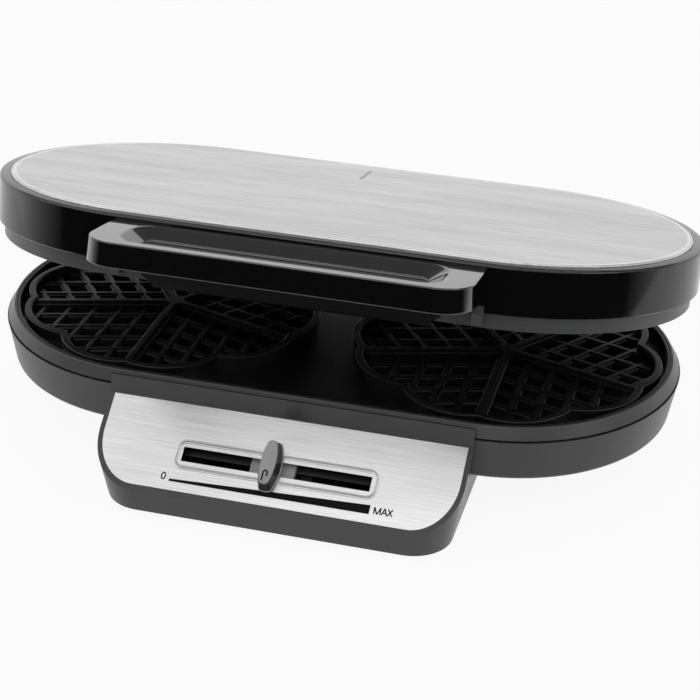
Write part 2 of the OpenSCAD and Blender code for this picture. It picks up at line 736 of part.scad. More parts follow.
// A point of the fascia's frame, up the slope and out of the steel, in the housings' frame.
function from_fascia(up, out) = [
    -riser_y + up * cos(slope) - out * sin(slope), -riser_h + up * sin(slope) + out * cos(slope)
];
module rod(p, q, r) {
    d = q - p;
    l = norm(d);
    translate(p) rotate([0, acos(d[2] / l), atan2(d[1], d[0])]) cylinder(h = l, r = r, $fn = 16);
}
module sensor_tube() {
    bulb_z = -cavity_depth - cavity_floor_t - sensor_r - 0.1;
    x = thermostat_size[0] / 2 + 2.5;
    run_z = -console_depth + capillary_clear;
    inlet = from_fascia(
        ramp_y + ramp_w / 2 + thermostat_front - thermostat_size[1] / 2 - slot_v,
        -body_top - thermostat_size[2] / 2
    );
    pts = [
        [bulb_half_l, bulb_y, bulb_z], [x, bulb_y, bulb_z - 4], [x, bulb_y, -tub_depth - 7],
        [x, bulb_y - 8, run_z], [x, inlet[0] + 15, run_z], [x, inlet[0], inlet[1]],
        [x - 2.4, inlet[0], inlet[1]]
    ];
    color([0.75, 0.5, 0.35]) on_base() {
        translate([-bulb_half_l, bulb_y, bulb_z]) rotate([0, 90, 0])
            cylinder(h = 2 * bulb_half_l, r = sensor_r, $fn = 32);
        for (i = [0:len(pts) - 2]) rod(pts[i], pts[i + 1], 0.9);
        for (i = [1:len(pts) - 2]) translate(pts[i]) sphere(r = 1.1, $fn = 16);
    }
}
module terminal_block() {
    rear = stand_rear - 32;
    color([0.9, 0.9, 0.88]) on_base()
        translate([0, rear - terminal_size[1], -console_depth + cover_t + seat_gap]) difference() {
            translate([-terminal_size[0] / 2, 0, 0]) cube(terminal_size);
            for (i = [-1:1]) translate([terminal_pitch * i, terminal_size[1] / 2, terminal_size[2] / 2])
                cylinder(h = terminal_size[2], r = 2.2, $fn = 24);
            for (i = [-1:1]) translate([terminal_pitch * i, -1, 6]) rotate([-90, 0, 0])
                cylinder(h = 8, r = 2, $fn = 24);
        }
}
module base_cover() {
    in = side_draft + wall + seat_gap;
    color([0.2, 0.2, 0.21]) on_base() difference() {
        union() {
            translate([0, 0, -console_depth]) linear_extrude(cover_t) {
                console_2d(in, front_draft + wall + seat_gap, -riser_y + 4);
                stand_2d(in + 0.3);
            }
            for (xy = boss_xy)
                translate([xy[0], xy[1], -console_depth])
                    cylinder(h = console_depth - tub_depth - seat_gap, r = post_r, $fn = 32);
        }
        for (xy = boss_xy)
            translate([xy[0], xy[1], -console_depth - 1]) {
                cylinder(h = console_depth, r = screw_r + 0.2, $fn = 32);
                cylinder(h = console_depth + 1 - tub_depth - seat_gap - well_t, r = well_r, $fn = 32);
            }
        for (i = [0:vents - 1])
            translate([(i - (vents - 1) / 2) * vent_pitch, 2, -console_depth])
                cube([vent_size[0], vent_size[1], 3 * cover_t], center = true);
    }
}
module cover_screws() {
    color([0.7, 0.7, 0.72]) on_base() for (xy = boss_xy)
        translate([xy[0], xy[1], -tub_depth - seat_gap - well_t - 0.1]) {
            translate([0, 0, -2]) cylinder(h = 2, r = 3, $fn = 24);
            translate([0, 0, -0.5]) cylinder(h = cover_screw_l, r = screw_r - 0.1, $fn = 24);
        }
}
module rubber_feet() {
    color([0.06, 0.06, 0.06]) on_base()
        for (x = [-foot_x, foot_x], y = [-foot_front, foot_rear])
            translate([x, y, -rim_z]) cylinder(h = foot_h, r1 = foot_r - 0.8, r2 = foot_r, $fn = 48);
}

// ---- Hinge ----
// The tub's outer radius at a height, where a bracket seats on it.
function tub_r(z) =
    tub_top_r + (tub_foot_r - tub_top_r) * (z + tub_top_depth) / (tub_top_depth - tub_depth);
bracket_top = -9;
bracket_low = -26;
module hinge_ear_2d() {
    seat_y = tub_r(bracket_top) + seat_gap;
    difference() {
        eye_flank_2d([seat_y, bracket_top], [seat_y, bracket_low], [hinge_y, hinge_z], ear_r);
        polygon([
            [seat_y, bracket_top], [tub_r(bracket_low) + seat_gap, bracket_low],
            [tub_r(bracket_low) + seat_gap, -60], [0, -60], [0, 60], [seat_y, 60]
        ]);
    }
}
// A flank from a wall to a round eye, as straight tangents and the eye.
module eye_flank_2d(top, foot, eye, r) {
    polygon([top - [3, 0], top, eye + r * [-0.76, 0.65], eye, eye + r * [0.93, -0.37], foot, foot - [5, 0]]);
    translate(eye) circle(r, $fn = 64);
}
module hinge_brackets() {
    full = arm_w + 2 * (hinge_side_gap + ear_t);
    plate_t = 3;
    color([0.2, 0.2, 0.21]) on_base() difference() {
        for (side = [-1, 1]) {
            for (s = [-1, 1])
                across(side * hinge_x + s * (arm_w / 2 + hinge_side_gap + ear_t / 2) - ear_t / 2, ear_t)
                    hinge_ear_2d();
            across(side * hinge_x - full / 2, full) polygon([
                [tub_r(bracket_top) + seat_gap, bracket_top],
                [tub_r(bracket_top) + seat_gap + plate_t, bracket_top],
                [tub_r(bracket_low) + seat_gap + plate_t, bracket_low],
                [tub_r(bracket_low) + seat_gap, bracket_low]
            ]);
        }
        for (side = [-1, 1])
            translate([side * hinge_x - 20, hinge_y, hinge_z]) rotate([0, 90, 0])
                cylinder(h = 40, r = pin_r + pin_fit, $fn = 64);
    }
}
module hinge_pins() {
    out = arm_w / 2 + hinge_side_gap + ear_t + 0.3;
    color([0.72, 0.72, 0.74]) on_base() for (side = [-1, 1])
        translate([side * hinge_x, hinge_y, hinge_z]) rotate([0, 90, 0]) {
            translate([0, 0, -out - 1.5]) cylinder(h = 2 * out + 3, r = pin_r, $fn = 64);
            for (s = [-1, 1]) translate([0, 0, s * (out + 0.75) - 0.75])
                cylinder(h = 1.5, r = pin_r + 1.4, $fn = 48);
        }
}

// ---- Lid ----
module hinge_arm_2d() {
    difference() {
        union() {
            translate([hinge_y - arm_r, slot_low]) square([2 * arm_r, slot_high - slot_low]);
            for (z = [slot_low, slot_high]) translate([hinge_y, z]) circle(arm_r, $fn = 64);
            polygon([
                [skirt_r + seat_gap, skirt_low + 2.5], [skirt_r + seat_gap, skirt_top - 5],
                [skirt_r + 4, skirt_top - 7], [hinge_y + arm_r * 0.6, slot_high + arm_r * 0.8],
                [hinge_y, slot_high], [hinge_y - arm_r, slot_high - 3]
            ]);
        }
        translate([hinge_y - pin_r - pin_fit, slot_low])
            square([2 * (pin_r + pin_fit), slot_high - slot_low]);
        for (z = [slot_low, slot_high])
            translate([hinge_y, z]) circle(pin_r + pin_fit, $fn = 64);
    }
}
module hinge_arms() {
    color([0.1, 0.1, 0.11]) on_lid()
        for (side = [-1, 1]) across(side * hinge_x - arm_w / 2, arm_w) hinge_arm_2d();
}
module lid_shell() {
    deck_top = cover_top - cover_sheet - seat_gap;
    deck_low_z = deck_top - 2;
    shoulder = cover_r + 0.4;
    color([0.07, 0.07, 0.08]) on_lid() {
        difference() {
            oval() polygon(concat(
                [[skirt_r - wall, skirt_low], [skirt_r - 0.4, skirt_low], [skirt_r, skirt_low + 0.4]],
                arc([skirt_r - 1.4, skirt_top - 1.4], 1.4, 0, 80, 4),
                [
                    [shoulder, cover_top - cover_edge], [shoulder, deck_top], [0, deck_top],
                    [0, deck_low_z], [skirt_r - wall - 1.5, deck_low_z],
                    [skirt_r - wall, deck_low_z - 1.5]
                ]
            ));
            for (y = lamp_y) translate([lamp_x - 4, y - 5, deck_low_z - 1]) cube([8, 10, 6]);
            for (side = [-1, 1])
                translate([side * handle_screw_x, -skirt_r - 1, handle_screw_z]) rotate([-90, 0, 0])
                    cylinder(h = 6, r = screw_r, $fn = 32);
        }
        for (xy = post_xy)
            translate([xy[0], xy[1], post_depth + seat_gap]) difference() {
                union() {
                    cylinder(h = deck_low_z - post_depth - seat_gap + 0.5, r = post_r, $fn = 32);
                    translate([0, 0, reflector_depth - post_depth])
                        cylinder(h = deck_low_z - reflector_depth - seat_gap + 0.5,
                            r = post_r + 2, $fn = 32);
                }
                translate([0, 0, -1]) cylinder(h = 12, r = screw_r, $fn = 24);
            }
    }
}
module steel_cover() {
    low = cover_top - cover_sheet;
    slit_y = (lamp_y[0] + lamp_y[1]) / 2;
    color([0.8, 0.8, 0.81]) on_lid() difference() {
        oval() polygon(concat(
            [[0, low], [cover_r, low]],
            arc([cover_r - cover_edge, cover_top - cover_edge], cover_edge, 0, 90, 4),
            [[0, cover_top]]
        ));
        translate([lamp_x - lens_w / 2, slit_y - lens_l, low - 1]) cube([lens_w, 2 * lens_l, 4]);
    }
}
module lid_trim_ring() {
    tab_back = skirt_r + seat_gap;
    under = skirt_low - 0.3;
    color([0.36, 0.36, 0.37]) on_lid() {
        difference() {
            oval() polygon([
                [lid_trim_r - 1.8, 0.3], [lid_trim_r - 1.5, 0], [lid_trim_r - 0.3, 0],
                [lid_trim_r, 0.3], [lid_trim_r, skirt_low + 0.5],
                [skirt_r - wall - 0.25, skirt_low + 0.8], [skirt_r - wall - 0.25, skirt_low + 3],
                [lid_trim_r - 1.8, skirt_low + 3]
            ]);
            for (side = [-1, 1])
                translate([side * joint_x - 0.4, -lid_trim_r - 1, -1])
                    cube([0.8, 1.6, skirt_low + 1]);
        }
        for (side = [-1, 1])
            across(side * tab_x - tab_w / 2, tab_w) polygon([
                [-lid_trim_r + 1, 2.5], [-tab_back - 2, 2.5], [-tab_back - 2.3, under],
                [-tab_back - 1, under + 4], [-tab_back, under + 4], [-tab_back, under],
                [-lid_trim_r + 1, under]
            ]);
    }
}
module upper_plate() {
    color([0.1, 0.1, 0.11]) on_lid() mirror([0, 0, 1]) cooking_plate(upper_lip_r);
}
module upper_heater() {
    color([0.45, 0.45, 0.46]) on_lid() mirror([0, 0, 1]) heater();
}
module upper_reflector() {
    color([0.78, 0.78, 0.8]) on_lid() mirror([0, 0, 1]) reflector();
}
module upper_plate_screws() {
    color([0.7, 0.7, 0.72]) on_lid() for (xy = post_xy)
        translate([xy[0], xy[1], floor_depth + casting_t - 0.5])
            cylinder(h = 12, r = screw_r - 0.1, $fn = 24);
}
// Outline of the handle's loop in plan.
module handle_outer_2d(inset = 0) {
    w = handle_half_w - inset;
    front = handle_front - inset;
    r = handle_corner - inset;
    back = skirt_r + seat_gap;
    translate([-w, -front + r]) square([2 * w, front - r - back]);
    translate([-w + r, -front]) square([2 * (w - r), r]);
    for (s = [-1, 1]) translate([s * (w - r), -front + r]) circle(r, $fn = 64);
}
// Upper and lower outlines of the dished finger opening.
module dish_top_2d() {
    w = handle_half_w - handle_arm_w;
    front = handle_front - bar_depth;
    back = skirt_r + seat_gap + dish_ledge;
    r = 11;
    flare = 15;
    polygon(concat(
        arc([w - r, -front + r], r, -90, 0, 8),
        arc([w - flare, -back - flare], flare, 0, 90, 8),
        arc([-w + flare, -back - flare], flare, 90, 180, 8),
        arc([-w + r, -front + r], r, 180, 270, 8)
    ));
}
module dish_foot_2d() {
    w = block_half_w + 1;
    y = (handle_front - bar_depth + block_front) / 2;
    translate([0, -y]) rounded_2d(w, y - block_front, 5);
}
module finger_dish() {
    hull() {
        translate([0, 0, dish_z]) linear_extrude(tiny) dish_foot_2d();
        translate([0, 0, handle_top]) linear_extrude(tiny) dish_top_2d();
    }
    translate([0, 0, -5]) linear_extrude(dish_z + 5 + tiny) dish_foot_2d();
}
module handle() {
    block_w = block_half_w + seat_gap;
    color([0.09, 0.09, 0.1]) on_lid() difference() {
        hull() {
            translate([0, 0, handle_low]) linear_extrude(tiny) handle_outer_2d(0.6 - handle_spread);
            translate([0, 0, handle_low + 1]) linear_extrude(tiny) handle_outer_2d(-handle_spread);
            translate([0, 0, handle_top - tiny]) linear_extrude(tiny) handle_outer_2d(0);
        }
        finger_dish();
        translate([-block_w, -block_front - 1, handle_low - 1])
            cube([2 * block_w, block_front + 1 - skirt_r + 5, handle_top - handle_low + 2]);
        for (side = [-1, 1])
            translate([side * handle_screw_x, -skirt_r - 13, handle_screw_z]) rotate([-90, 0, 0])
                cylinder(h = 14, r = screw_r, $fn = 32);
    }
}
// The block's outline from the front: it widens under the handle's arms.
module block_front_2d() {
    w = block_half_w;
    under = handle_low - seat_gap;
    polygon([
        [-w, block_low], [w, block_low], [w + 0.4 * block_slant, block_low + 3.5],
        [w + block_slant, block_low + 6.3], [w + block_slant, under], [w, under],
        [w, handle_top + 1], [-w, handle_top + 1], [-w, under], [-w - block_slant, under],
        [-w - block_slant, block_low + 6.3], [-w - 0.4 * block_slant, block_low + 3.5]
    ]);
}
module grip_block() {
    back = skirt_r + seat_gap;
    nose = block_front - 8.3;
    w = block_half_w + block_slant;
    color([0.1, 0.1, 0.11]) on_lid() difference() {
        intersection() {
            across(-w, 2 * w) polygon([
                [-back, handle_top], [-block_front - 0.5, handle_top],
                [-block_front - 0.5, dish_z - 0.1], [-block_front, dish_z - 1],
                [-nose, block_low + 0.7], [-nose + 0.7, block_low],
                [-lid_trim_r - 1.6, block_low], [-lid_trim_r - 1.6, skirt_low - 0.3],
                [-back, skirt_low - 0.3]
            ]);
            translate([0, -lid_trim_r, 0]) rotate([90, 0, 0])
                linear_extrude(2 * block_reach) block_front_2d();
        }
        finger_dish();
    }
}
module handle_screws() {
    color([0.7, 0.7, 0.72]) on_lid() for (side = [-1, 1])
        translate([side * handle_screw_x, -skirt_r + wall + 0.1, handle_screw_z])
            rotate([-90, 0, 0]) {
                cylinder(h = 1.8, r = 3, $fn = 24);
                translate([0, 0, -handle_screw_l])
                    cylinder(h = handle_screw_l + 0.5, r = screw_r - 0.1, $fn = 24);
            }
}
module lens(y) {
    translate([lamp_x - lens_w / 2 + 0.1, y - lens_l / 2 + 0.05, cover_top - 1.7])
        cube([lens_w - 0.2, lens_l - 0.1, 1.8]);
    translate([lamp_x - 3, y - 4, cover_top - 5.7]) cube([6, 8, 4]);
}
module red_lens() {
    color([0.8, 0.1, 0.08]) on_lid() lens(lamp_y[0]);
}
module green_lens() {
    color([0.1, 0.6, 0.15]) on_lid() lens(lamp_y[1]);
}
module lamp_holder() {
    low = cover_top - 11.5;
    high = cover_top - cover_sheet - 2 - 2 * seat_gap;
    color([0.9, 0.9, 0.88]) on_lid() difference() {
        translate([lamp_x - 7, lamp_y[0] - 8, low]) cube([14, lamp_y[1] - lamp_y[0] + 16, high - low]);
        for (y = lamp_y) translate([lamp_x - 3.4, y - 4.4, low + 1.5]) cube([6.8, 8.8, 10]);
    }
}
module signal_lamps() {
    low = cover_top - 11.5;
    color([0.9, 0.6, 0.4]) on_lid() for (y = lamp_y)
        translate([lamp_x - lamp_l / 2, y, low + 3.6]) rotate([0, 90, 0]) cylinder(h = lamp_l, r = 1.9, $fn = 24);
}

base_tub();
lower_trim_ring();
lower_plate();
lower_heater();
lower_reflector();
lower_plate_screws();
thermal_fuse();
sensor_tube();
console_housing();
fascia_plate();
slider_guide();
slider_carriage();
slider_knob();
thermostat_body();
thermostat_bracket();
thermostat_plunger();
terminal_block();
base_cover();
cover_screws();
rubber_feet();
cable_gland();
hinge_brackets();
hinge_pins();
hinge_arms();
lid_shell();
steel_cover();
lid_trim_ring();
upper_plate();
upper_heater();
upper_reflector();
upper_plate_screws();
handle();
grip_block();
handle_screws();
red_lens();
green_lens();
lamp_holder();
signal_lamps();
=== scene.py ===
"""Looks, printed marks and studio of the twin heart waffle maker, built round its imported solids."""

import json
import math

import bmesh
import bpy
from bpy.props import FloatProperty, FloatVectorProperty, IntProperty, PointerProperty
from mathutils import Matrix, Vector


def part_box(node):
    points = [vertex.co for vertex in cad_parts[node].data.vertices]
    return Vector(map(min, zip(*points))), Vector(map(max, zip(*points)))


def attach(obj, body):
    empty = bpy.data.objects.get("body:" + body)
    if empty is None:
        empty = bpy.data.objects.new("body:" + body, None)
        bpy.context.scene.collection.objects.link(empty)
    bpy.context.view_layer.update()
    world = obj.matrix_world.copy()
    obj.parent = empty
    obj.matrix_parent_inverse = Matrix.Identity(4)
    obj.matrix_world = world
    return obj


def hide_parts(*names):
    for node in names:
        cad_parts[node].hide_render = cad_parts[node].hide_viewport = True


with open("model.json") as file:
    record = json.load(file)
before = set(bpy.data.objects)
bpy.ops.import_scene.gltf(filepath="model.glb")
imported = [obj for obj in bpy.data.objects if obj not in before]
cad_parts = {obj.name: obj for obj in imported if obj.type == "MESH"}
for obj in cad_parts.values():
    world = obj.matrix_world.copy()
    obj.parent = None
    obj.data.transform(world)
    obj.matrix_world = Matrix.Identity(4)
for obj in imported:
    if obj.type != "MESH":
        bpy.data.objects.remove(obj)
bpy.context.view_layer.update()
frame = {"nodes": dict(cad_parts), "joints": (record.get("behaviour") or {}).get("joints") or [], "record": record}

bl_info = {
    "name": "Twin heart waffle maker",
    "version": (1, 0, 0),
    "blender": (4, 5, 0),
    "location": "View3D > Sidebar > Waffle maker",
    "description": "Dresses the solids of a twin heart waffle maker and sets its studio",
    "category": "Object",
}

MM = 0.001

# ---- Places, taken from the frame ----
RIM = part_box("lower_trim_ring")
PLATE_MIDDLE = (RIM[0] + RIM[1]) / 2
HINGE = next(j for j in frame["joints"] if j["name"] == "lid_hinge")
FLOAT = next(j for j in frame["joints"] if j["name"] == "hinge_float")
LID_REST = -math.radians(HINGE["range_deg"][0])
SLOPE = math.radians(37)

TO_BASE = Matrix.Translation((0, PLATE_MIDDLE.y, RIM[1].z))
# The lid's own zero: the pin's place in the lid, turned back and taken off the pin's place in the room.
PIN_IN_LID = Vector((
    0,
    HINGE["pos_m"][1] - PLATE_MIDDLE.y,
    HINGE["pos_m"][2] - RIM[1].z - 0.4 * MM + FLOAT["range_m"][0],
))
LID_TURN = Matrix.Rotation(-LID_REST, 4, "X")
TO_LID = Matrix.Translation(Vector(HINGE["pos_m"]) - LID_TURN @ PIN_IN_LID) @ LID_TURN
# X along the slot, Y up the slope, Z out of the steel, zero in the fascia's upper edge.
TO_FASCIA = TO_BASE @ Matrix.Translation((0, -97.2 * MM, -10.2 * MM)) @ Matrix.Rotation(SLOPE, 4, "X")


def linear(colour):
    """Linear RGBA of an sRGB hex value such as C8C8C8."""
    channels = [int(colour[i:i + 2], 16) / 255 for i in (0, 2, 4)]
    return [c / 12.92 if c <= 0.04045 else ((c + 0.055) / 1.055) ** 2.4 for c in channels] + [1.0]


def add(tree, kind, sockets=None, **settings):
    """Adds a node; sockets holds a value or an output to link for each input's name or number."""
    node = tree.nodes.new(kind)
    for name, value in settings.items():
        setattr(node, name, value)
    for key, value in (sockets or {}).items():
        if isinstance(value, bpy.types.NodeSocket):
            tree.links.new(value, node.inputs[key])
        else:
            node.inputs[key].default_value = value
    return node


# ---- Finishes ----
def pattern(tree, size, detail=2.0, rough=0.5):
    """Noise whose grains measure size millimetres along X, Y and Z."""
    place = add(tree, "ShaderNodeTexCoord").outputs["Object"]
    scaled = add(tree, "ShaderNodeMapping", {"Vector": place, "Scale": [1 / (s * MM) for s in size]})
    noise = add(tree, "ShaderNodeTexNoise", {
        "Vector": scaled.outputs[0], "Scale": 1.0, "Detail": detail, "Roughness": rough})
    return noise.outputs["Fac"]


def between(tree, factor, low, high):
    """Spreads a noise's middle range over low to high."""
    return add(tree, "ShaderNodeMapRange", {
        "Value": factor, "From Min": 0.3, "From Max": 0.7, "To Min": low, "To Max": high}).outputs[0]


def shade(tree, factor, dark, light):
    """A colour between two hex values."""
    spread = between(tree, factor, 0.0, 1.0)
    return add(tree, "ShaderNodeMix", {"Factor": spread, "A": linear(dark), "B": linear(light)},
               data_type="RGBA").outputs["Result"]


def finish(name, build, **constants):
    """A material: build(tree) gives the shader's linked inputs, constants its plain values."""
    material = bpy.data.materials.new(name)
    material.use_nodes = True
    tree = material.node_tree
    tree.nodes.clear()
    sockets = {key.replace("_", " "): value for key, value in constants.items()}
    sockets.update(build(tree))
    shader = add(tree, "ShaderNodeBsdfPrincipled", sockets)
    add(tree, "ShaderNodeOutputMaterial", {"Surface": shader.outputs[0]})
    return material


def bump(tree, height, depth, strength=1.0):
    """A normal from a height between 0 and 1, depth millimetres high."""
    return add(tree, "ShaderNodeBump", {
        "Height": height, "Distance": depth * MM, "Strength": strength}).outputs[0]


def polished_abs(tree, dark, light, low=0.05, high=0.1):
    """ABS from a polished mould: mirror-like, with a slow waviness from cooling and faint handling marks."""
    wave = pattern(tree, (14, 14, 14), detail=1.0)
    marks = pattern(tree, (2.5, 1.2, 1.2), detail=4.0)
    return {
        "Base Color": shade(tree, marks, dark, light),
        "Roughness": between(tree, marks, low, high),
        "Normal": bump(tree, wave, 0.012),
    }


def eroded_abs(tree, dark, light, low=0.34, high=0.46, grain=1.1, depth=0.02):
    """ABS from a spark-eroded mould: satin, with a fine pebble. The real pebble is 0.1 mm and is drawn
    ten times as coarse, so that it shows."""
    pebble = pattern(tree, (grain, grain, grain), detail=3.0)
    cloud = pattern(tree, (30, 30, 30))
    return {
        "Base Color": shade(tree, cloud, dark, light),
        "Roughness": between(tree, pebble, low, high),
        "Normal": bump(tree, pebble, depth),
    }


def brushed_steel(tree, dark, light, low=0.28, high=0.4, width=0.6, length=34):
    """Stainless sheet brushed along X with a 180 grit belt: streaks some 35 mm long. Their real width is
    0.1 mm and is drawn at 0.6 mm, so that they show."""
    streak = pattern(tree, (length, width, width), detail=5.0, rough=0.7)
    drift = pattern(tree, (150, 22, 22), detail=1.0)
    both = add(tree, "ShaderNodeMix", {"Factor": 0.2, "A": streak, "B": drift}).outputs["Result"]
    return {
        "Base Color": shade(tree, both, dark, light),
        "Roughness": between(tree, streak, low, high),
        "Normal": bump(tree, streak, 0.008),
    }


def fluoropolymer(tree):
    """Sprayed PTFE on a cast plate: black, half matt, with the orange peel of the spray."""
    peel = pattern(tree, (1.6, 1.6, 1.6), detail=2.0)
    cloud = pattern(tree, (18, 18, 18), detail=3.0)
    return {
        "Base Color": shade(tree, cloud, "121213", "1B1B1C"),
        "Roughness": between(tree, cloud, 0.27, 0.38),
        "Normal": bump(tree, peel, 0.018),
    }


def worn_metal(tree, dark, light, low, high, size=(3, 3, 3), depth=0.01):
    """Plain metal whose tone and sheen change from place to place."""
    blotch = pattern(tree, size, detail=4.0)
    return {
        "Base Color": shade(tree, blotch, dark, light),
        "Roughness": between(tree, blotch, low, high),
        "Normal": bump(tree, blotch, depth),
    }


def make_finishes():
    """Every finish of the appliance, by the slot that the record names."""
    return {
        # Polished black ABS: deep black with clean reflections.
        "lid_gloss": finish("abs_polished_black", lambda t: polished_abs(t, "070708", "0C0C0D"), IOR=1.54),
        # The handle is the same plastic with a lacquer, so its top shows the room more.
        "handle_gloss": finish(
            "abs_lacquered_black", lambda t: polished_abs(t, "070708", "0C0C0D", 0.06, 0.11),
            IOR=1.54, Coat_Weight=0.6, Coat_IOR=1.5, Coat_Roughness=0.05),
        # Behind the loop the same plastic is eroded against scratches from rings: black, with little sheen.
        "block_satin": finish(
            "abs_satin_black", lambda t: eroded_abs(t, "050506", "080809", 0.4, 0.52), IOR=1.54,
            Specular_IOR_Level=0.06),
        # Spark-eroded ABS: satin dark grey with a soft, broad sheen.
        "housing_dark": finish("abs_satin_dark_grey", lambda t: eroded_abs(t, "2C2C2E", "343436", 0.3, 0.42), IOR=1.54),
        "trim_grey": finish("abs_satin_grey", lambda t: eroded_abs(t, "404142", "474849", 0.3, 0.4), IOR=1.54),
        "inner_black": finish("pbt_black", lambda t: eroded_abs(t, "131314", "1A1A1B", 0.45, 0.6), IOR=1.57),
        "cover_black": finish("polypropylene_black", lambda t: eroded_abs(t, "1D1D1E", "252526", 0.5, 0.62), IOR=1.49),
        "control_grey": finish("abs_satin_mid_grey", lambda t: eroded_abs(t, "A0A0A2", "ACACAE", 0.3, 0.4), IOR=1.54),
        # The knob's sides are the housing's plastic with more black in it.
        "knob_dark": finish("abs_satin_near_black", lambda t: eroded_abs(t, "161617", "1D1D1E", 0.35, 0.45), IOR=1.54),
        # White polyamide: slightly warm and waxy.
        "terminal_white": finish("polyamide_white", lambda t: eroded_abs(t, "DCDAD2", "E6E4DD", 0.4, 0.5), IOR=1.53),
        # Cordierite ceramic: chalky brown, with a fine tooth.
        "fuse_ceramic": finish("cordierite", lambda t: eroded_abs(t, "5E564C", "6B6257", 0.6, 0.75, 0.7), IOR=1.6),
        # Stainless sheet, belt brushed: pale, streaked along X.
        "cover_steel": finish(
            "stainless_brushed_cover", lambda t: brushed_steel(t, "9C9C9E", "F4F4F5"), Metallic=1.0),
        "fascia_steel": finish(
            "stainless_brushed_fascia", lambda t: brushed_steel(t, "BEBEBF", "E4E4E5", 0.28, 0.38), Metallic=1.0),
        # The cover's rolled edge is the same sheet, burnished by the roll.
        "edge_steel": finish(
            "stainless_burnished_edge", lambda t: brushed_steel(t, "B4B4B5", "F4F4F5", 0.18, 0.26), Metallic=1.0),
        # PTFE coating on cast aluminium.
        "nonstick": finish("ptfe_black", fluoropolymer, IOR=1.45, Specular_IOR_Level=0.6),
        # Heater sheath: steel that has gone blue-brown with heat.
        "heater_tube": finish(
            "sheath_oxidised", lambda t: worn_metal(t, "5A524C", "77716C", 0.45, 0.65), Metallic=1.0),
        # Rolled aluminium sheet: bright, with faint rolling lines.
        "reflector": finish(
            "aluminium_rolled", lambda t: worn_metal(t, "CFD0D2", "E0E1E3", 0.18, 0.32, (60, 1.5, 1.5)),
            Metallic=1.0),
        # Zinc plating: blue-white with blotches of passivation.
        "screw_steel": finish(
            "steel_zinc_plated", lambda t: worn_metal(t, "A9ADB4", "C6C8CC", 0.25, 0.42, (2, 2, 2)), Metallic=1.0),
        "copper_tube": finish(
            "copper_drawn", lambda t: worn_metal(t, "B87350", "D0916C", 0.22, 0.36, (9, 1, 1)), Metallic=1.0),
        "plunger_brass": finish(
            "brass_turned", lambda t: worn_metal(t, "B8964A", "D0B066", 0.2, 0.32, (3, 0.5, 0.5)), Metallic=1.0),
        # Vulcanised rubber: black, dull, with a powdery bloom.
        "foot_rubber": finish(
            "rubber_black", lambda t: eroded_abs(t, "141414", "1E1E1E", 0.7, 0.85, 0.9), IOR=1.52,
            Sheen_Weight=0.15, Sheen_Roughness=0.6),
        "gland_rubber": finish(
            "rubber_moulded", lambda t: eroded_abs(t, "121212", "191919", 0.55, 0.7, 0.8), IOR=1.52),
        # Tinted clear polycarbonate with the frosted back of a lens.
        "lens_red": finish(
            "polycarbonate_red", lambda t: {"Roughness": between(t, pattern(t, (1, 1, 1)), 0.12, 0.25)},
            Base_Color=linear("D8202A"), IOR=1.58, Transmission_Weight=0.25),
        "lens_green": finish(
            "polycarbonate_green", lambda t: {"Roughness": between(t, pattern(t, (1, 1, 1)), 0.12, 0.25)},
            Base_Color=linear("1E9A4A"), IOR=1.58, Transmission_Weight=0.25),
        # Clear glass bulb, warmed by its gas.
        "lamp_glass": finish(
            "neon_glass", lambda t: {"Roughness": between(t, pattern(t, (1, 1, 1)), 0.02, 0.08)},
            Base_Color=linear("F2C9A0"), IOR=1.5, Transmission_Weight=0.85),
        # Screen-printed ink: matt, a little thin in places. On the knob it is painted shade, standing for the pointer's
        # engraved groove.
        "ink": finish(
            "ink_black_and_groove_shade", lambda t: eroded_abs(t, "060606", "0C0C0C", 0.75, 0.85, 0.8, 0.004),
            IOR=1.5, Specular_IOR_Level=0.2),
    }


FINISHES = {}


def dress(*nodes):
    """Gives CAD nodes the finish of the slot that the record names for them."""
    wanted = {part["node"]: part["material_slot"] for part in frame["record"]["subparts"]}
    for node in nodes:
        for slot in frame["nodes"][node].material_slots:
            slot.material = FINISHES[wanted[node]]


# ---- Pieces ----
def place(mesh, name, matrix, body, slot, replaced=(), smooth=None):
    """Puts a mesh into the row's frame as a piece that rides on a body."""
    mesh.transform(matrix)
    if smooth is not None:
        mesh.polygons.foreach_set("use_smooth", [True] * len(mesh.polygons))
        mesh.set_sharp_from_angle(angle=math.radians(smooth))
    mesh.materials.clear()
    mesh.materials.append(FINISHES[slot])
    piece = bpy.data.objects.new(name, mesh)
    bpy.context.scene.collection.objects.link(piece)
    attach(piece, body)
    if replaced:
        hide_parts(*replaced)
    return piece


def mesh_of(name, bm, outward=True):
    """Closes a bmesh into a mesh whose faces point outwards."""
    bmesh.ops.remove_doubles(bm, verts=bm.verts, dist=1e-6)
    if outward:
        bmesh.ops.recalc_face_normals(bm, faces=bm.faces)
    mesh = bpy.data.meshes.new(name)
    bm.to_mesh(mesh)
    bm.free()
    return mesh


def prism(name, outline, low, high):
    """A flat outline in millimetres, raised from low to high."""
    bm = bmesh.new()
    ring = [bm.verts.new((x * MM, y * MM, low * MM)) for x, y in outline]
    face = bm.faces.new(ring)
    top = bmesh.ops.extrude_face_region(bm, geom=[face])
    bmesh.ops.translate(
        bm, vec=(0, 0, (high - low) * MM), verts=[v for v in top["geom"] if isinstance(v, bmesh.types.BMVert)])
    return mesh_of(name, bm)


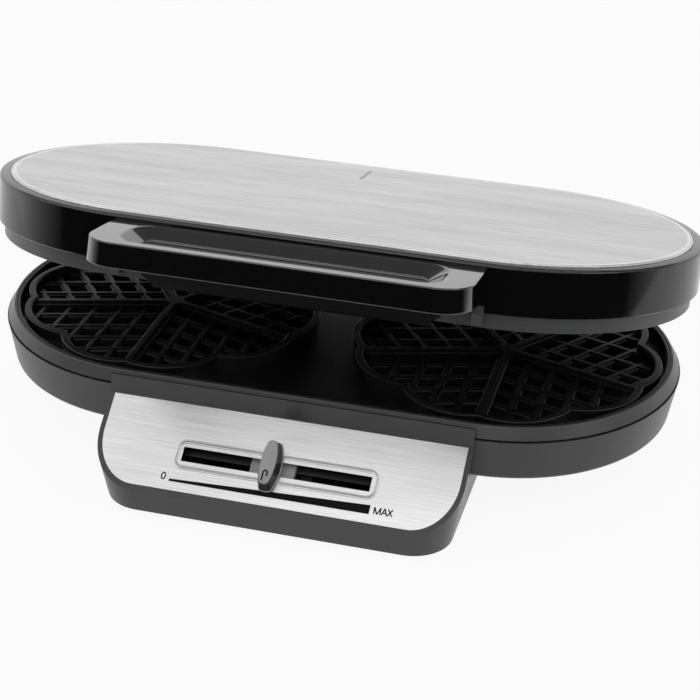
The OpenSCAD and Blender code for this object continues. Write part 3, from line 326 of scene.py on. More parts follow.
def strokes(name, lines, width, low, high):
    """Straight strokes in plan, in millimetres, each a thin bar raised from low to high."""
    bm = bmesh.new()
    for start, end in lines:
        start, end = Vector(start), Vector(end)
        along = (end - start).normalized() * 0.12 * width
        across = Vector((-along.y, along.x)).normalized() * width / 2
        plan = [start - along - across, end + along - across, end + along + across, start - along + across]
        rows = [[bm.verts.new(Vector((p.x, p.y, z)) * MM) for p in plan] for z in (low, high)]
        for i in range(4):
            bm.faces.new((rows[0][i], rows[0][(i + 1) % 4], rows[1][(i + 1) % 4], rows[1][i]))
        for row in rows:
            bm.faces.new(row)
    return mesh_of(name, bm)


def loft(name, rings, closed=False):
    """Skins rings of equal counts of points, in millimetres. It closes both ends, or joins the last to the first."""
    bm = bmesh.new()
    rows = [[bm.verts.new(Vector(p) * MM) for p in ring] for ring in rings]
    for low, high in zip(rows, rows[1:] + (rows[:1] if closed else [])):
        for i in range(len(low)):
            j = (i + 1) % len(low)
            bm.faces.new((low[i], low[j], high[j], high[i]))
    if not closed:
        bm.faces.new(rows[0])
        bm.faces.new(rows[-1])
    return mesh_of(name, bm)


def corner_ring(half_w, front, back, front_r, back_r, z, steps=24):
    """A rectangle in plan with round corners, as a ring of points whose corners lie in step with other such rings."""
    points = []
    for x, y, radius, turn in (
            (half_w - front_r, front_r - front, front_r, -90), (half_w - back_r, -back - back_r, back_r, 0),
            (back_r - half_w, -back - back_r, back_r, 90), (front_r - half_w, front_r - front, front_r, 180)):
        for i in range(steps + 1):
            angle = math.radians(turn + 90 * i / steps)
            points.append((x + radius * math.cos(angle), y + radius * math.sin(angle), z))
    return points


def oval_ring(radius, z, steps=48):
    """The appliance's oval in plan at a radius from its two end points."""
    points = []
    for side in (1, -1):
        for i in range(steps + 1):
            angle = math.radians(-90 + 180 * i / steps)
            points.append((side * (HALF_STRAIGHT + radius * math.cos(angle)), side * radius * math.sin(angle), z))
    return points


def wires(name, paths):
    """Open or closed paths in millimetres as edges, to be swept by a node tree."""
    verts, edges = [], []
    for points, closed in paths:
        first = len(verts)
        verts += [Vector(p) * MM for p in points]
        edges += [(first + i, first + i + 1) for i in range(len(points) - 1)]
        if closed:
            edges.append((len(verts) - 1, first))
    mesh = bpy.data.meshes.new(name)
    mesh.from_pydata(verts, edges, [])
    return mesh


def new_tree(name, inputs):
    """A Geometry Nodes tree with named inputs; returns the tree, its inputs and a function that ends it."""
    tree = bpy.data.node_groups.new(name, "GeometryNodeTree")
    tree.interface.new_socket("Geometry", in_out="INPUT", socket_type="NodeSocketGeometry")
    for label, kind in inputs.items():
        tree.interface.new_socket(label, in_out="INPUT", socket_type=kind)
    tree.interface.new_socket("Geometry", in_out="OUTPUT", socket_type="NodeSocketGeometry")
    source = add(tree, "NodeGroupInput").outputs

    def end(geometry):
        real = add(tree, "GeometryNodeRealizeInstances", {"Geometry": geometry})
        dressed = add(tree, "GeometryNodeSetMaterial", {"Geometry": real.outputs[0], "Material": source["Material"]})
        add(tree, "NodeGroupOutput", {"Geometry": dressed.outputs[0]})
    return tree, source, end


def grow(mesh, tree, values):
    """Runs a tree on a mesh and returns the plain mesh that it makes."""
    host = bpy.data.objects.new(mesh.name + "_host", mesh)
    bpy.context.scene.collection.objects.link(host)
    modifier = host.modifiers.new("grow", "NODES")
    modifier.node_group = tree
    for item in tree.interface.items_tree:
        if item.in_out == "INPUT" and item.name in values:
            modifier[item.identifier] = values[item.name]
    made = bpy.data.meshes.new_from_object(host.evaluated_get(bpy.context.evaluated_depsgraph_get()))
    host.modifiers.remove(modifier)
    bpy.data.objects.remove(host)
    if not made.polygons:
        raise RuntimeError(f"{tree.name} made nothing from {mesh.name}")
    return made


def rib_tree():
    """Sweeps a rounded bar along every path: cast ribs, walls and beads."""
    tree, source, end = new_tree("rounded_bar_on_paths", {
        "Width": "NodeSocketFloat", "Height": "NodeSocketFloat", "Fillet": "NodeSocketFloat",
        "Material": "NodeSocketMaterial"})
    path = add(tree, "GeometryNodeMeshToCurve", {"Mesh": source["Geometry"]})
    level = add(tree, "GeometryNodeSetCurveNormal", {"Curve": path.outputs[0]}, mode="Z_UP")
    bar = add(tree, "GeometryNodeCurvePrimitiveQuadrilateral", {
        "Width": source["Height"], "Height": source["Width"]}, mode="RECTANGLE")
    soft = add(tree, "GeometryNodeFilletCurve", {
        "Curve": bar.outputs[0], "Radius": source["Fillet"], "Count": 3}, mode="POLY")
    swept = add(tree, "GeometryNodeCurveToMesh", {
        "Curve": level.outputs[0], "Profile Curve": soft.outputs[0], "Fill Caps": True})
    end(swept.outputs[0])
    return tree


def screw_tree():
    """Puts a dished head with a cross recess on every point."""
    tree, source, end = new_tree("cross_head_screws", {
        "Head radius": "NodeSocketFloat", "Head height": "NodeSocketFloat",
        "Recess length": "NodeSocketFloat", "Recess width": "NodeSocketFloat",
        "Material": "NodeSocketMaterial"})
    head = add(tree, "GeometryNodeMeshCone", {
        "Vertices": 32, "Side Segments": 1, "Radius Bottom": source["Head radius"],
        "Depth": source["Head height"]})
    brim = add(tree, "ShaderNodeMath", {0: source["Head radius"], 1: 0.8}, operation="MULTIPLY")
    tree.links.new(brim.outputs[0], head.inputs["Radius Top"])
    depth = add(tree, "ShaderNodeMath", {0: source["Head height"], 1: 0.6}, operation="MULTIPLY")
    arms = []
    for x, y in (("Recess length", "Recess width"), ("Recess width", "Recess length")):
        size = add(tree, "ShaderNodeCombineXYZ", {"X": source[x], "Y": source[y], "Z": source["Head height"]})
        box = add(tree, "GeometryNodeMeshCube", {"Size": size.outputs[0]})
        lift = add(tree, "ShaderNodeMath", {0: source["Head height"], 1: depth.outputs[0]}, operation="ADD")
        up = add(tree, "ShaderNodeCombineXYZ", {"Z": lift.outputs[0]})
        arms.append(add(tree, "GeometryNodeTransform", {
            "Geometry": box.outputs[0], "Translation": up.outputs[0]}).outputs[0])
    cut = add(tree, "GeometryNodeMeshBoolean", {"Mesh 1": head.outputs[0]}, operation="DIFFERENCE", solver="EXACT")
    for arm in arms:
        tree.links.new(arm, cut.inputs["Mesh 2"])
    spots = add(tree, "GeometryNodeMeshToPoints", {"Mesh": source["Geometry"]})
    heads = add(tree, "GeometryNodeInstanceOnPoints", {"Points": spots.outputs[0], "Instance": cut.outputs[0]})
    end(heads.outputs[0])
    return tree


def ring_tree():
    """Stacks rounded rings up from every point: treads and strain-relief ribs."""
    tree, source, end = new_tree("stacked_rings", {
        "Count": "NodeSocketInt", "Pitch": "NodeSocketFloat", "Radius": "NodeSocketFloat",
        "Thickness": "NodeSocketFloat", "Shrink": "NodeSocketFloat", "Material": "NodeSocketMaterial"})
    step = add(tree, "ShaderNodeCombineXYZ", {"Z": source["Pitch"]})
    row = add(tree, "GeometryNodeMeshLine", {"Count": source["Count"], "Offset": step.outputs[0]},
              mode="OFFSET", count_mode="TOTAL")
    spots = add(tree, "GeometryNodeMeshToPoints", {"Mesh": source["Geometry"]})
    stack = add(tree, "GeometryNodeInstanceOnPoints", {"Points": spots.outputs[0], "Instance": row.outputs[0]})
    rows = add(tree, "GeometryNodeRealizeInstances", {"Geometry": stack.outputs[0]})
    circle = add(tree, "GeometryNodeCurvePrimitiveCircle", {"Resolution": 48, "Radius": source["Radius"]}, mode="RADIUS")
    cord = add(tree, "GeometryNodeCurvePrimitiveCircle", {"Resolution": 12, "Radius": source["Thickness"]}, mode="RADIUS")
    ring = add(tree, "GeometryNodeCurveToMesh", {"Curve": circle.outputs[0], "Profile Curve": cord.outputs[0]})
    number = add(tree, "GeometryNodeInputIndex")
    within = add(tree, "ShaderNodeMath", {0: number.outputs[0], 1: source["Count"]}, operation="MODULO")
    loss = add(tree, "ShaderNodeMath", {0: within.outputs[0], 1: source["Shrink"]}, operation="MULTIPLY")
    size = add(tree, "ShaderNodeMath", {0: 1.0, 1: loss.outputs[0]}, operation="SUBTRACT")
    rings = add(tree, "GeometryNodeInstanceOnPoints", {
        "Points": rows.outputs[0], "Instance": ring.outputs[0], "Scale": size.outputs[0]})
    end(rings.outputs[0])
    return tree


# ---- The oval, the cover and the loop handle, as in the solids ----
HALF_STRAIGHT = 94.0
SKIRT_R = 99.8
SKIRT_TOP = 32.8
COVER_R = 93.9
COVER_TOP = 34.1
HANDLE_W = 96.4
HANDLE_FRONT = 146.9
HANDLE_TOP = 30.5
HANDLE_LOW = 18.0
HANDLE_CORNER = 17.5
DISH_W = 81.1
DISH_FRONT = 139.5
DISH_Z = 26.2
OPENING_W = 72.0
OPENING_BACK = 115.0

# ---- The fascia, as in the solids ----
SLOT_V = 28.6
BEAD_L = 52.9
BEAD_W = 7.2
BEAD_R = 4.4

# ---- The cast waffle pattern, as in the solids ----
LOBE_R = 31.5
LOBE_RING = 50.5
LOBE_ANGLE = 22
WAFFLE_X = 95.7
GRID_PITCH = 13.6
HEART = 36
LOBES = [
    LOBE_RING * Vector((math.cos(a), math.sin(a)))
    for a in (math.radians(-54 + 72 * k + s * LOBE_ANGLE) for k in range(5) for s in (-1, 1))
]


def scallop_radius(angle, radius):
    """Distance from a waffle's middle to its outline, with lobes of that radius."""
    ray = Vector((math.cos(angle), math.sin(angle)))
    reach = []
    for centre in LOBES:
        along = centre.dot(ray)
        inside = radius ** 2 - centre.length_squared + along ** 2
        if inside > 0 and along > 0:
            reach.append(along + math.sqrt(inside))
    return max(reach)


def rib_paths():
    """Middle lines of one waffle's ribs in plan: the five long ones, then the diamond grid's."""
    long_ribs, grid = [], []
    for k in range(5):
        turn = math.radians(-90 + 72 * k)
        ray = Vector((math.cos(turn), math.sin(turn)))
        long_ribs.append((Vector((0, 0)), ray * scallop_radius(turn, LOBE_R + 0.3)))
        middle = math.radians(-54 + 72 * k)
        for s in (-1, 1):
            side = middle + s * math.radians(HEART)
            along = Vector((math.cos(side), math.sin(side)))
            across = Vector((-along.y, along.x))
            for i in range(1, 7):
                away = i * GRID_PITCH
                start = along * (away / math.tan(math.radians(2 * HEART))) - s * across * away
                end = start.copy()
                for step in range(1, 500):
                    nxt = start + along * step * 0.25
                    if nxt.length > scallop_radius(math.atan2(nxt.y, nxt.x), LOBE_R + 0.3):
                        break
                    end = nxt
                if (end - start).length > 2:
                    grid.append((start, end))
    return long_ribs, grid


class WaffleFinishes(bpy.types.PropertyGroup):
    """Values of the finishes that a user may change."""
    rib_round: FloatProperty(
        name="Rib rounding", description="Radius of the cast ribs' upper edges",
        default=0.6 * MM, min=0.1 * MM, max=1.2 * MM, subtype="DISTANCE", unit="LENGTH")
    mark_height: FloatProperty(
        name="Mark height", description="Height of the printed marks beside the slider",
        default=4.25 * MM, min=2 * MM, max=7 * MM, subtype="DISTANCE", unit="LENGTH")
    mark_weight: FloatProperty(
        name="Mark weight", description="Width of the printed marks' strokes",
        default=0.66 * MM, min=0.3 * MM, max=1 * MM, subtype="DISTANCE", unit="LENGTH")
    handle_edge: FloatProperty(
        name="Handle edge", description="Radius of the handle's edges",
        default=0.7 * MM, min=0.2 * MM, max=2 * MM, subtype="DISTANCE", unit="LENGTH")
    tread_rings: IntProperty(
        name="Tread rings", description="Rings moulded on each rubber foot", default=2, min=1, max=4)


class WaffleStudio(bpy.types.PropertyGroup):
    """Values of the stage."""
    floor_colour: FloatVectorProperty(
        name="Floor", description="Colour of the floor", default=linear("F4F4F4")[:3], size=3,
        min=0, max=1, subtype="COLOR")
    focal_length: FloatProperty(
        name="Focal length", description="Focal length of the camera in millimetres", default=95.32, min=20, max=200)
    azimuth: FloatProperty(
        name="Azimuth", description="Turn of the camera to the right of the front",
        default=math.radians(13.891), subtype="ANGLE", unit="ROTATION")
    elevation: FloatProperty(
        name="Elevation", description="Rise of the camera over the horizon",
        default=math.radians(27.925), subtype="ANGLE", unit="ROTATION")
    roll: FloatProperty(
        name="Roll", description="Turn of the camera about its own line of sight",
        default=math.radians(1.815), subtype="ANGLE", unit="ROTATION")


class WAFFLE_OT_finish_solids(bpy.types.Operator):
    """Gives every solid its finish"""
    bl_idname = "waffle.finish_solids"
    bl_label = "Finish the solids"

    def execute(self, context):
        FINISHES.update(make_finishes())
        dress(*frame["nodes"])
        return {"FINISHED"}


class WAFFLE_OT_cast_ribs(bpy.types.Operator):
    """Rounds the ribs and the scalloped walls of both cooking plates"""
    bl_idname = "waffle.cast_ribs"
    bl_label = "Cast the ribs"

    def execute(self, context):
        looks = context.scene.waffle_finishes
        tree = rib_tree()
        long_ribs, grid = rib_paths()
        # Name, paths in plan, closed, width, height and top of the bar.
        angles = [math.radians(-90 + 1.5 * i) for i in range(240)]
        wall = [Vector((math.cos(a), math.sin(a))) * scallop_radius(a, LOBE_R + 1.25) for a in angles]
        kinds = [
            ("long_ribs", long_ribs, False, 3.2, 6.6, -2.15),
            ("grid_ribs", grid, False, 2.4, 4.6, -4.25),
            ("scalloped_wall", [wall], True, 3.1, 4.0, -0.02),
        ]
        for plate, matrix, body in (
                ("lower", TO_BASE, "base"), ("upper", TO_LID @ Matrix.Scale(-1, 4, (0, 0, 1)), "lid")):
            for name, paths, closed, width, height, top in kinds:
                placed = [
                    ([(p.x + side * WAFFLE_X, p.y, top - height / 2) for p in path], closed)
                    for path in paths for side in (-1, 1)
                ]
                made = grow(wires(f"{plate}_{name}", placed), tree, {
                    "Width": width * MM, "Height": height * MM, "Fillet": looks.rib_round,
                    "Material": FINISHES["nonstick"]})
                made.transform(matrix)
                bm = bmesh.new()
                bm.from_mesh(made)
                place(mesh_of(f"{plate}_{name}", bm), f"{plate}_{name}", Matrix(), body, "nonstick", smooth=50)
        return {"FINISHED"}


class WAFFLE_OT_print_scale(bpy.types.Operator):
    """Rounds the border of the slot and prints the heat scale: a zero, a widening bar and the word for most"""
    bl_idname = "waffle.print_scale"
    bl_label = "Finish the fascia"

    def execute(self, context):
        looks = context.scene.waffle_finishes
        # The pressed border is one rounded bead round the slot.
        round_end = [(BEAD_L - BEAD_R + BEAD_R * math.cos(a), BEAD_W - BEAD_R + BEAD_R * math.sin(a))
                     for a in (math.radians(11.25 * i) for i in range(9))]
        quarter = round_end + [(-x, y) for x, y in reversed(round_end)]
        border = [(x, y - SLOT_V, 0.2) for x, y in quarter + [(-x, -y) for x, y in quarter]]
        bead = grow(wires("slot_bead", [(border, True)]), rib_tree(), {
            "Width": 2.4 * MM, "Height": 0.9 * MM, "Fillet": 0.42 * MM, "Material": FINISHES["fascia_steel"]})
        place(bead, "slot_bead", TO_FASCIA, "base", "fascia_steel", smooth=60)
        bar = [(-53.3, -44.4), (52.3, -44.4), (52.3, -39.5), (-53.3, -43.1)]
        place(prism("scale_bar", bar, 0.01, 0.05), "scale_bar", TO_FASCIA, "base", "ink")
        # Each straight stroke is a bar of its own, and the zero is a ring of them.
        top = (looks.mark_height - looks.mark_weight) / MM
        ring = [(1.0 * math.cos(a), top / 2 * (1 + math.sin(a))) for a in (math.radians(15 * i) for i in range(25))]
        letters = [
            ((0, 0), (0, top)), ((0, top), (1.6, 0)), ((1.6, 0), (3.2, top)), ((3.2, top), (3.2, 0)),
            ((3.9, 0), (5.3, top)), ((5.3, top), (6.7, 0)), ((4.3, 1.2), (6.3, 1.2)),
            ((7.0, 0), (9.3, top)), ((7.0, top), (9.3, 0)),
        ]
        for name, lines, left, foot in (
                ("scale_zero", list(zip(ring, ring[1:])), -56.7, -43.8), ("scale_most", letters, 54.7, -43.8)):
            placed = [[(x + left, y + foot) for x, y in line] for line in lines]
            place(strokes(name, placed, looks.mark_weight / MM, 0.01, 0.06), name, TO_FASCIA, "base", "ink")
        return {"FINISHED"}


class WAFFLE_OT_form_knob(bpy.types.Operator):
    """Forms the slider's knob, a barrel-sided blade with a dished top edge and a pointer whose engraved groove is drawn
    as dark strokes of painted shade
    """
    bl_idname = "waffle.form_knob"
    bl_label = "Form the knob"

    def execute(self, context):
        low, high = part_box("slider_knob")
        middle = TO_FASCIA.inverted() @ ((low + high) / 2)
        centre = Vector((middle.x / MM, -SLOT_V))

        def outline(half_l, half_w, z):
            """The blade's outline: two bows between round ends."""
            tip = 0.5 * half_w
            points = []
            for side in (1, -1):
                for i in range(25):
                    t = math.cos(math.pi * i / 24)
                    bow = tip + (half_w - tip) * (1 - t ** 2)
                    bow *= min(1, math.sqrt(max(0.0, 1 - abs(t) ** 10)) + 0.25)
                    points.append((side * bow + centre.x, side * t * half_l + centre.y, z))
            return points

        # Half length, half width and height of the blade's rings, from its flared foot to its cap.
        foot = [(13.3, 5.5, 0.9), (13.8, 5.9, 1.2), (13.8, 5.85, 1.6), (13.4, 5.5, 1.7)]
        body = [(13.2, 5.3, 1.6), (13.5, 5.5, 2.0), (13.1, 5.05, 3.4), (12.5, 4.5, 5.2), (12.1, 4.15, 7.0),
                (11.8, 3.95, 7.7)]
        cap = [(11.5, 3.7, 7.6), (11.85, 4.0, 7.7), (11.9, 4.05, 8.1), (11.8, 3.95, 8.5), (11.5, 3.7, 8.75),
               (11.0, 3.3, 8.8), (10.0, 2.7, 8.72)]
        # The flared foot takes the cap's light grey: a painted highlight along its lower edge.
        for name, rings, look in (
                ("knob_foot_painted_highlight", foot, "control_grey"), ("knob_body", body, "knob_dark"), ("knob_cap", cap, "control_grey")):
            place(loft(name, [outline(*ring) for ring in rings]), name, TO_FASCIA, "slider", look,
                  ("slider_knob",), smooth=45)
        # The pointer is a hairpin, open towards the scale: dark strokes on the cap, painted shade for its engraved
        # groove.
        hairpin = [(-1.1, -10.4), (-1.05, -8.0)]
        hairpin += [(1.1 * math.cos(math.radians(a)), -6.4 + 1.6 * math.sin(math.radians(a)))
                    for a in range(170, 0, -20)]
        hairpin += [(1.0, -7.8)]
        hairpin = [(x + centre.x, y + centre.y) for x, y in hairpin]
        place(strokes("pointer", list(zip(hairpin, hairpin[1:])), 0.75, 8.7, 8.84), "pointer", TO_FASCIA, "slider", "ink")
        return {"FINISHED"}


class WAFFLE_OT_round_handle(bpy.types.Operator):
    """Forms the loop handle with its dished grip, and rounds the block under it"""
    bl_idname = "waffle.round_handle"
    bl_label = "Form the handle"

    def execute(self, context):
        edge = context.scene.waffle_finishes.handle_edge / MM
        back = SKIRT_R + 0.2
        turns = [math.radians(22.5 * i) for i in range(5)]

        def outer(inset, z):
            """The loop's outline, drawn in by inset except at the skirt."""
            return corner_ring(HANDLE_W - inset, HANDLE_FRONT - inset, back, HANDLE_CORNER - inset, 0.05, z)

        def part_way(low, high, share):
            """The ring that lies that share of the way from one ring to another."""
            return [Vector(p).lerp(Vector(q), share) for p, q in zip(low, high)]

        # Rings close to each edge keep its rounding narrow.
        rings = [outer(0.6, HANDLE_LOW)]
        rings += [outer(-0.1 - 0.6 * math.cos(a), HANDLE_LOW + 0.6 * (1 - math.sin(a))) for a in reversed(turns)]
        rings += [outer(-0.68, HANDLE_LOW + 1.1), outer(-0.08, HANDLE_TOP - edge - 0.6)]
        rings += [outer(edge * (1 - math.cos(a)), HANDLE_TOP - edge * (1 - math.sin(a))) for a in turns]
        rings.append(outer(edge + 0.6, HANDLE_TOP))
        # The dish sinks from the top, steeply at the bar and gently at the skirt.
        for out, sink in ((1.3, 0.0), (0.8, 0.0), (0.3, 0.06)):
            rings.append(corner_ring(
                DISH_W + out, DISH_FRONT + out, back + 2 - out, 11 + out, 15 + out, HANDLE_TOP - sink))
        rim = corner_ring(DISH_W, DISH_FRONT, back + 2, 11, 15, HANDLE_TOP)
        foot = corner_ring(OPENING_W + 0.5, DISH_FRONT - 0.1, OPENING_BACK - 0.5, 5.5, 5.5, DISH_Z)
        rings += [part_way(rim, foot, share) for share in (0.07, 0.14, 0.3, 0.5, 0.7, 0.9, 0.97)]
        # Its inner edge is a narrow chamfer over the finger opening.
        for over, sink in ((0.45, 0.05), (0.36, 0.15), (0.1, 0.73), (0.05, 0.83), (0.0, 1.05), (0.0, 1.5)):
            z = DISH_Z - sink
            rings.append(corner_ring(OPENING_W + over, DISH_FRONT - 0.1, OPENING_BACK - over, 5 + over, 5 + over, z))
        rings.append(corner_ring(OPENING_W, DISH_FRONT - 0.1, OPENING_BACK - 2.3, 5, 5, HANDLE_LOW + 0.4))
        rings.append(corner_ring(OPENING_W + 0.4, DISH_FRONT + 0.3, OPENING_BACK - 2.9, 5.4, 5.4, HANDLE_LOW))
        place(loft("loop_handle", rings, closed=True), "loop_handle", TO_LID, "lid", "handle_gloss",
              ("handle", "grip_block"), smooth=65)

        # The block under the loop is the solid's own, cut off at the loop's underside, with its edges rounded.
        bm = bmesh.new()
        bm.from_mesh(frame["nodes"]["grip_block"].data)
        bmesh.ops.remove_doubles(bm, verts=bm.verts, dist=2e-6)
        cut = bmesh.ops.bisect_plane(
            bm, geom=bm.verts[:] + bm.edges[:] + bm.faces[:], clear_outer=True,
            plane_co=TO_LID @ Vector((0, 0, (HANDLE_LOW + 0.2) * MM)),
            plane_no=TO_LID.to_3x3() @ Vector((0, 0, 1)))
        bmesh.ops.edgeloop_fill(bm, edges=[e for e in cut["geom_cut"] if isinstance(e, bmesh.types.BMEdge)])
        bmesh.ops.dissolve_limit(bm, angle_limit=math.radians(0.5), verts=bm.verts, edges=bm.edges)
        sharp = [e for e in bm.edges if len(e.link_faces) == 2 and e.calc_face_angle(0) > math.radians(30)]
        bmesh.ops.bevel(bm, geom=sharp, offset=0.5 * MM, segments=3, profile=0.5, affect="EDGES", clamp_overlap=True)
        place(mesh_of("handle_block", bm), "handle_block", Matrix(), "lid", "block_satin", ("grip_block",), smooth=30)
        return {"FINISHED"}


class WAFFLE_OT_roll_edges(bpy.types.Operator):
    """Rounds the rolled edge of the steel cover and the shoulder of the skirt round it"""
    bl_idname = "waffle.roll_edges"
    bl_label = "Roll the edges"

    def execute(self, context):
        turns = [math.radians(-6 + 12 * i) for i in range(8)]
        # The roll has a narrow flat where the die coined it.
        coined = [math.radians(a) for a in (-6, 4, 12, 14, 34, 36, 48, 60, 74, 86)]
        cover = [(COVER_R - 3.2, COVER_TOP + 0.02), (COVER_R - 3.2, COVER_TOP - 1), (COVER_R + 0.03, COVER_TOP - 1.8)]
        cover += [(COVER_R - 1.57 + 1.6 * math.cos(a), COVER_TOP - 1.58 + 1.6 * math.sin(a)) for a in coined]
        cover += [(COVER_R - 1.57, COVER_TOP + 0.02)]
        place(loft("cover_rolled_edge", [oval_ring(*p) for p in cover], closed=True), "cover_rolled_edge", TO_LID,
              "lid", "edge_steel", smooth=50)
        skirt = [(SKIRT_R - 4.0, SKIRT_TOP - 0.3), (SKIRT_R - 1.5, SKIRT_TOP - 3.2), (SKIRT_R + 0.02, SKIRT_TOP - 3.2)]
        skirt += [(SKIRT_R - 1.4 + 1.42 * math.cos(a), SKIRT_TOP - 1.4 + 1.42 * math.sin(a)) for a in turns]
        skirt += [(SKIRT_R - 4.0, SKIRT_TOP + 0.28)]
        # The lips round both cooking plates, blunt from the coating.
        for name, matrix, body, radius in (
                ("lower_lip", TO_BASE, "base", 90.1), ("upper_lip", TO_LID @ Matrix.Scale(-1, 4, (0, 0, 1)), "lid", 94.2)):
            lip = [(radius - 0.68 + 0.76 * math.cos(a), -0.84 + 0.76 * math.sin(a))
                   for a in (math.radians(30 * i) for i in range(12))]
            place(loft(name, [oval_ring(*p) for p in lip], closed=True), name, matrix, body, "nonstick", smooth=60)
        place(loft("skirt_shoulder", [oval_ring(*p) for p in skirt], closed=True), "skirt_shoulder", TO_LID,
              "lid", "lid_gloss", smooth=50)
        return {"FINISHED"}


class WAFFLE_OT_fit_hardware(bpy.types.Operator):
    """Adds the screw heads, the treads of the feet and the ribs of the strain relief"""
    bl_idname = "waffle.fit_hardware"
    bl_label = "Fit the hardware"

    def execute(self, context):
        tree = screw_tree()
        low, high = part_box("cover_screws")
        spots = [(x / MM, y / MM, -low.z / MM) for x in (low.x + 3 * MM, high.x - 3 * MM)
                 for y in (low.y + 3 * MM, high.y - 3 * MM)]
        heads = grow(wires("cover_heads", [([p], False) for p in spots]), tree, {
            "Head radius": 3 * MM, "Head height": 0.9 * MM, "Recess length": 3.4 * MM,
            "Recess width": 0.7 * MM, "Material": FINISHES["screw_steel"]})
        place(heads, "cover_screw_heads", Matrix.Rotation(math.pi, 4, "X") @ Matrix.Scale(-1, 4, (0, 1, 0)),
              "base", "screw_steel", smooth=35)
        rings = ring_tree()
        low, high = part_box("rubber_feet")
        feet = [(x / MM, y / MM, 0.8) for x in (low.x + 7.5 * MM, high.x - 7.5 * MM)
                for y in (low.y + 7.5 * MM, high.y - 7.5 * MM)]
        treads = grow(wires("feet_spots", [([p], False) for p in feet]), rings, {
            "Count": context.scene.waffle_finishes.tread_rings, "Pitch": 1.0 * MM, "Radius": 6.95 * MM,
            "Thickness": 0.35 * MM, "Shrink": -0.035, "Material": FINISHES["foot_rubber"]})
        place(treads, "foot_treads", Matrix(), "base", "foot_rubber", smooth=60)
        ribs = grow(wires("gland_spot", [([(0, 0, 9.0)], False)]), rings, {
            "Count": 5, "Pitch": 1.45 * MM, "Radius": 6.75 * MM, "Thickness": 0.42 * MM, "Shrink": 0.056,
            "Material": FINISHES["gland_rubber"]})
        at_gland = TO_BASE @ Matrix.Translation((0, 87.5 * MM, -20.5 * MM)) @ Matrix.Rotation(-math.pi / 2, 4, "X")
        place(ribs, "gland_ribs", at_gland, "base", "gland_rubber", smooth=60)
        return {"FINISHED"}


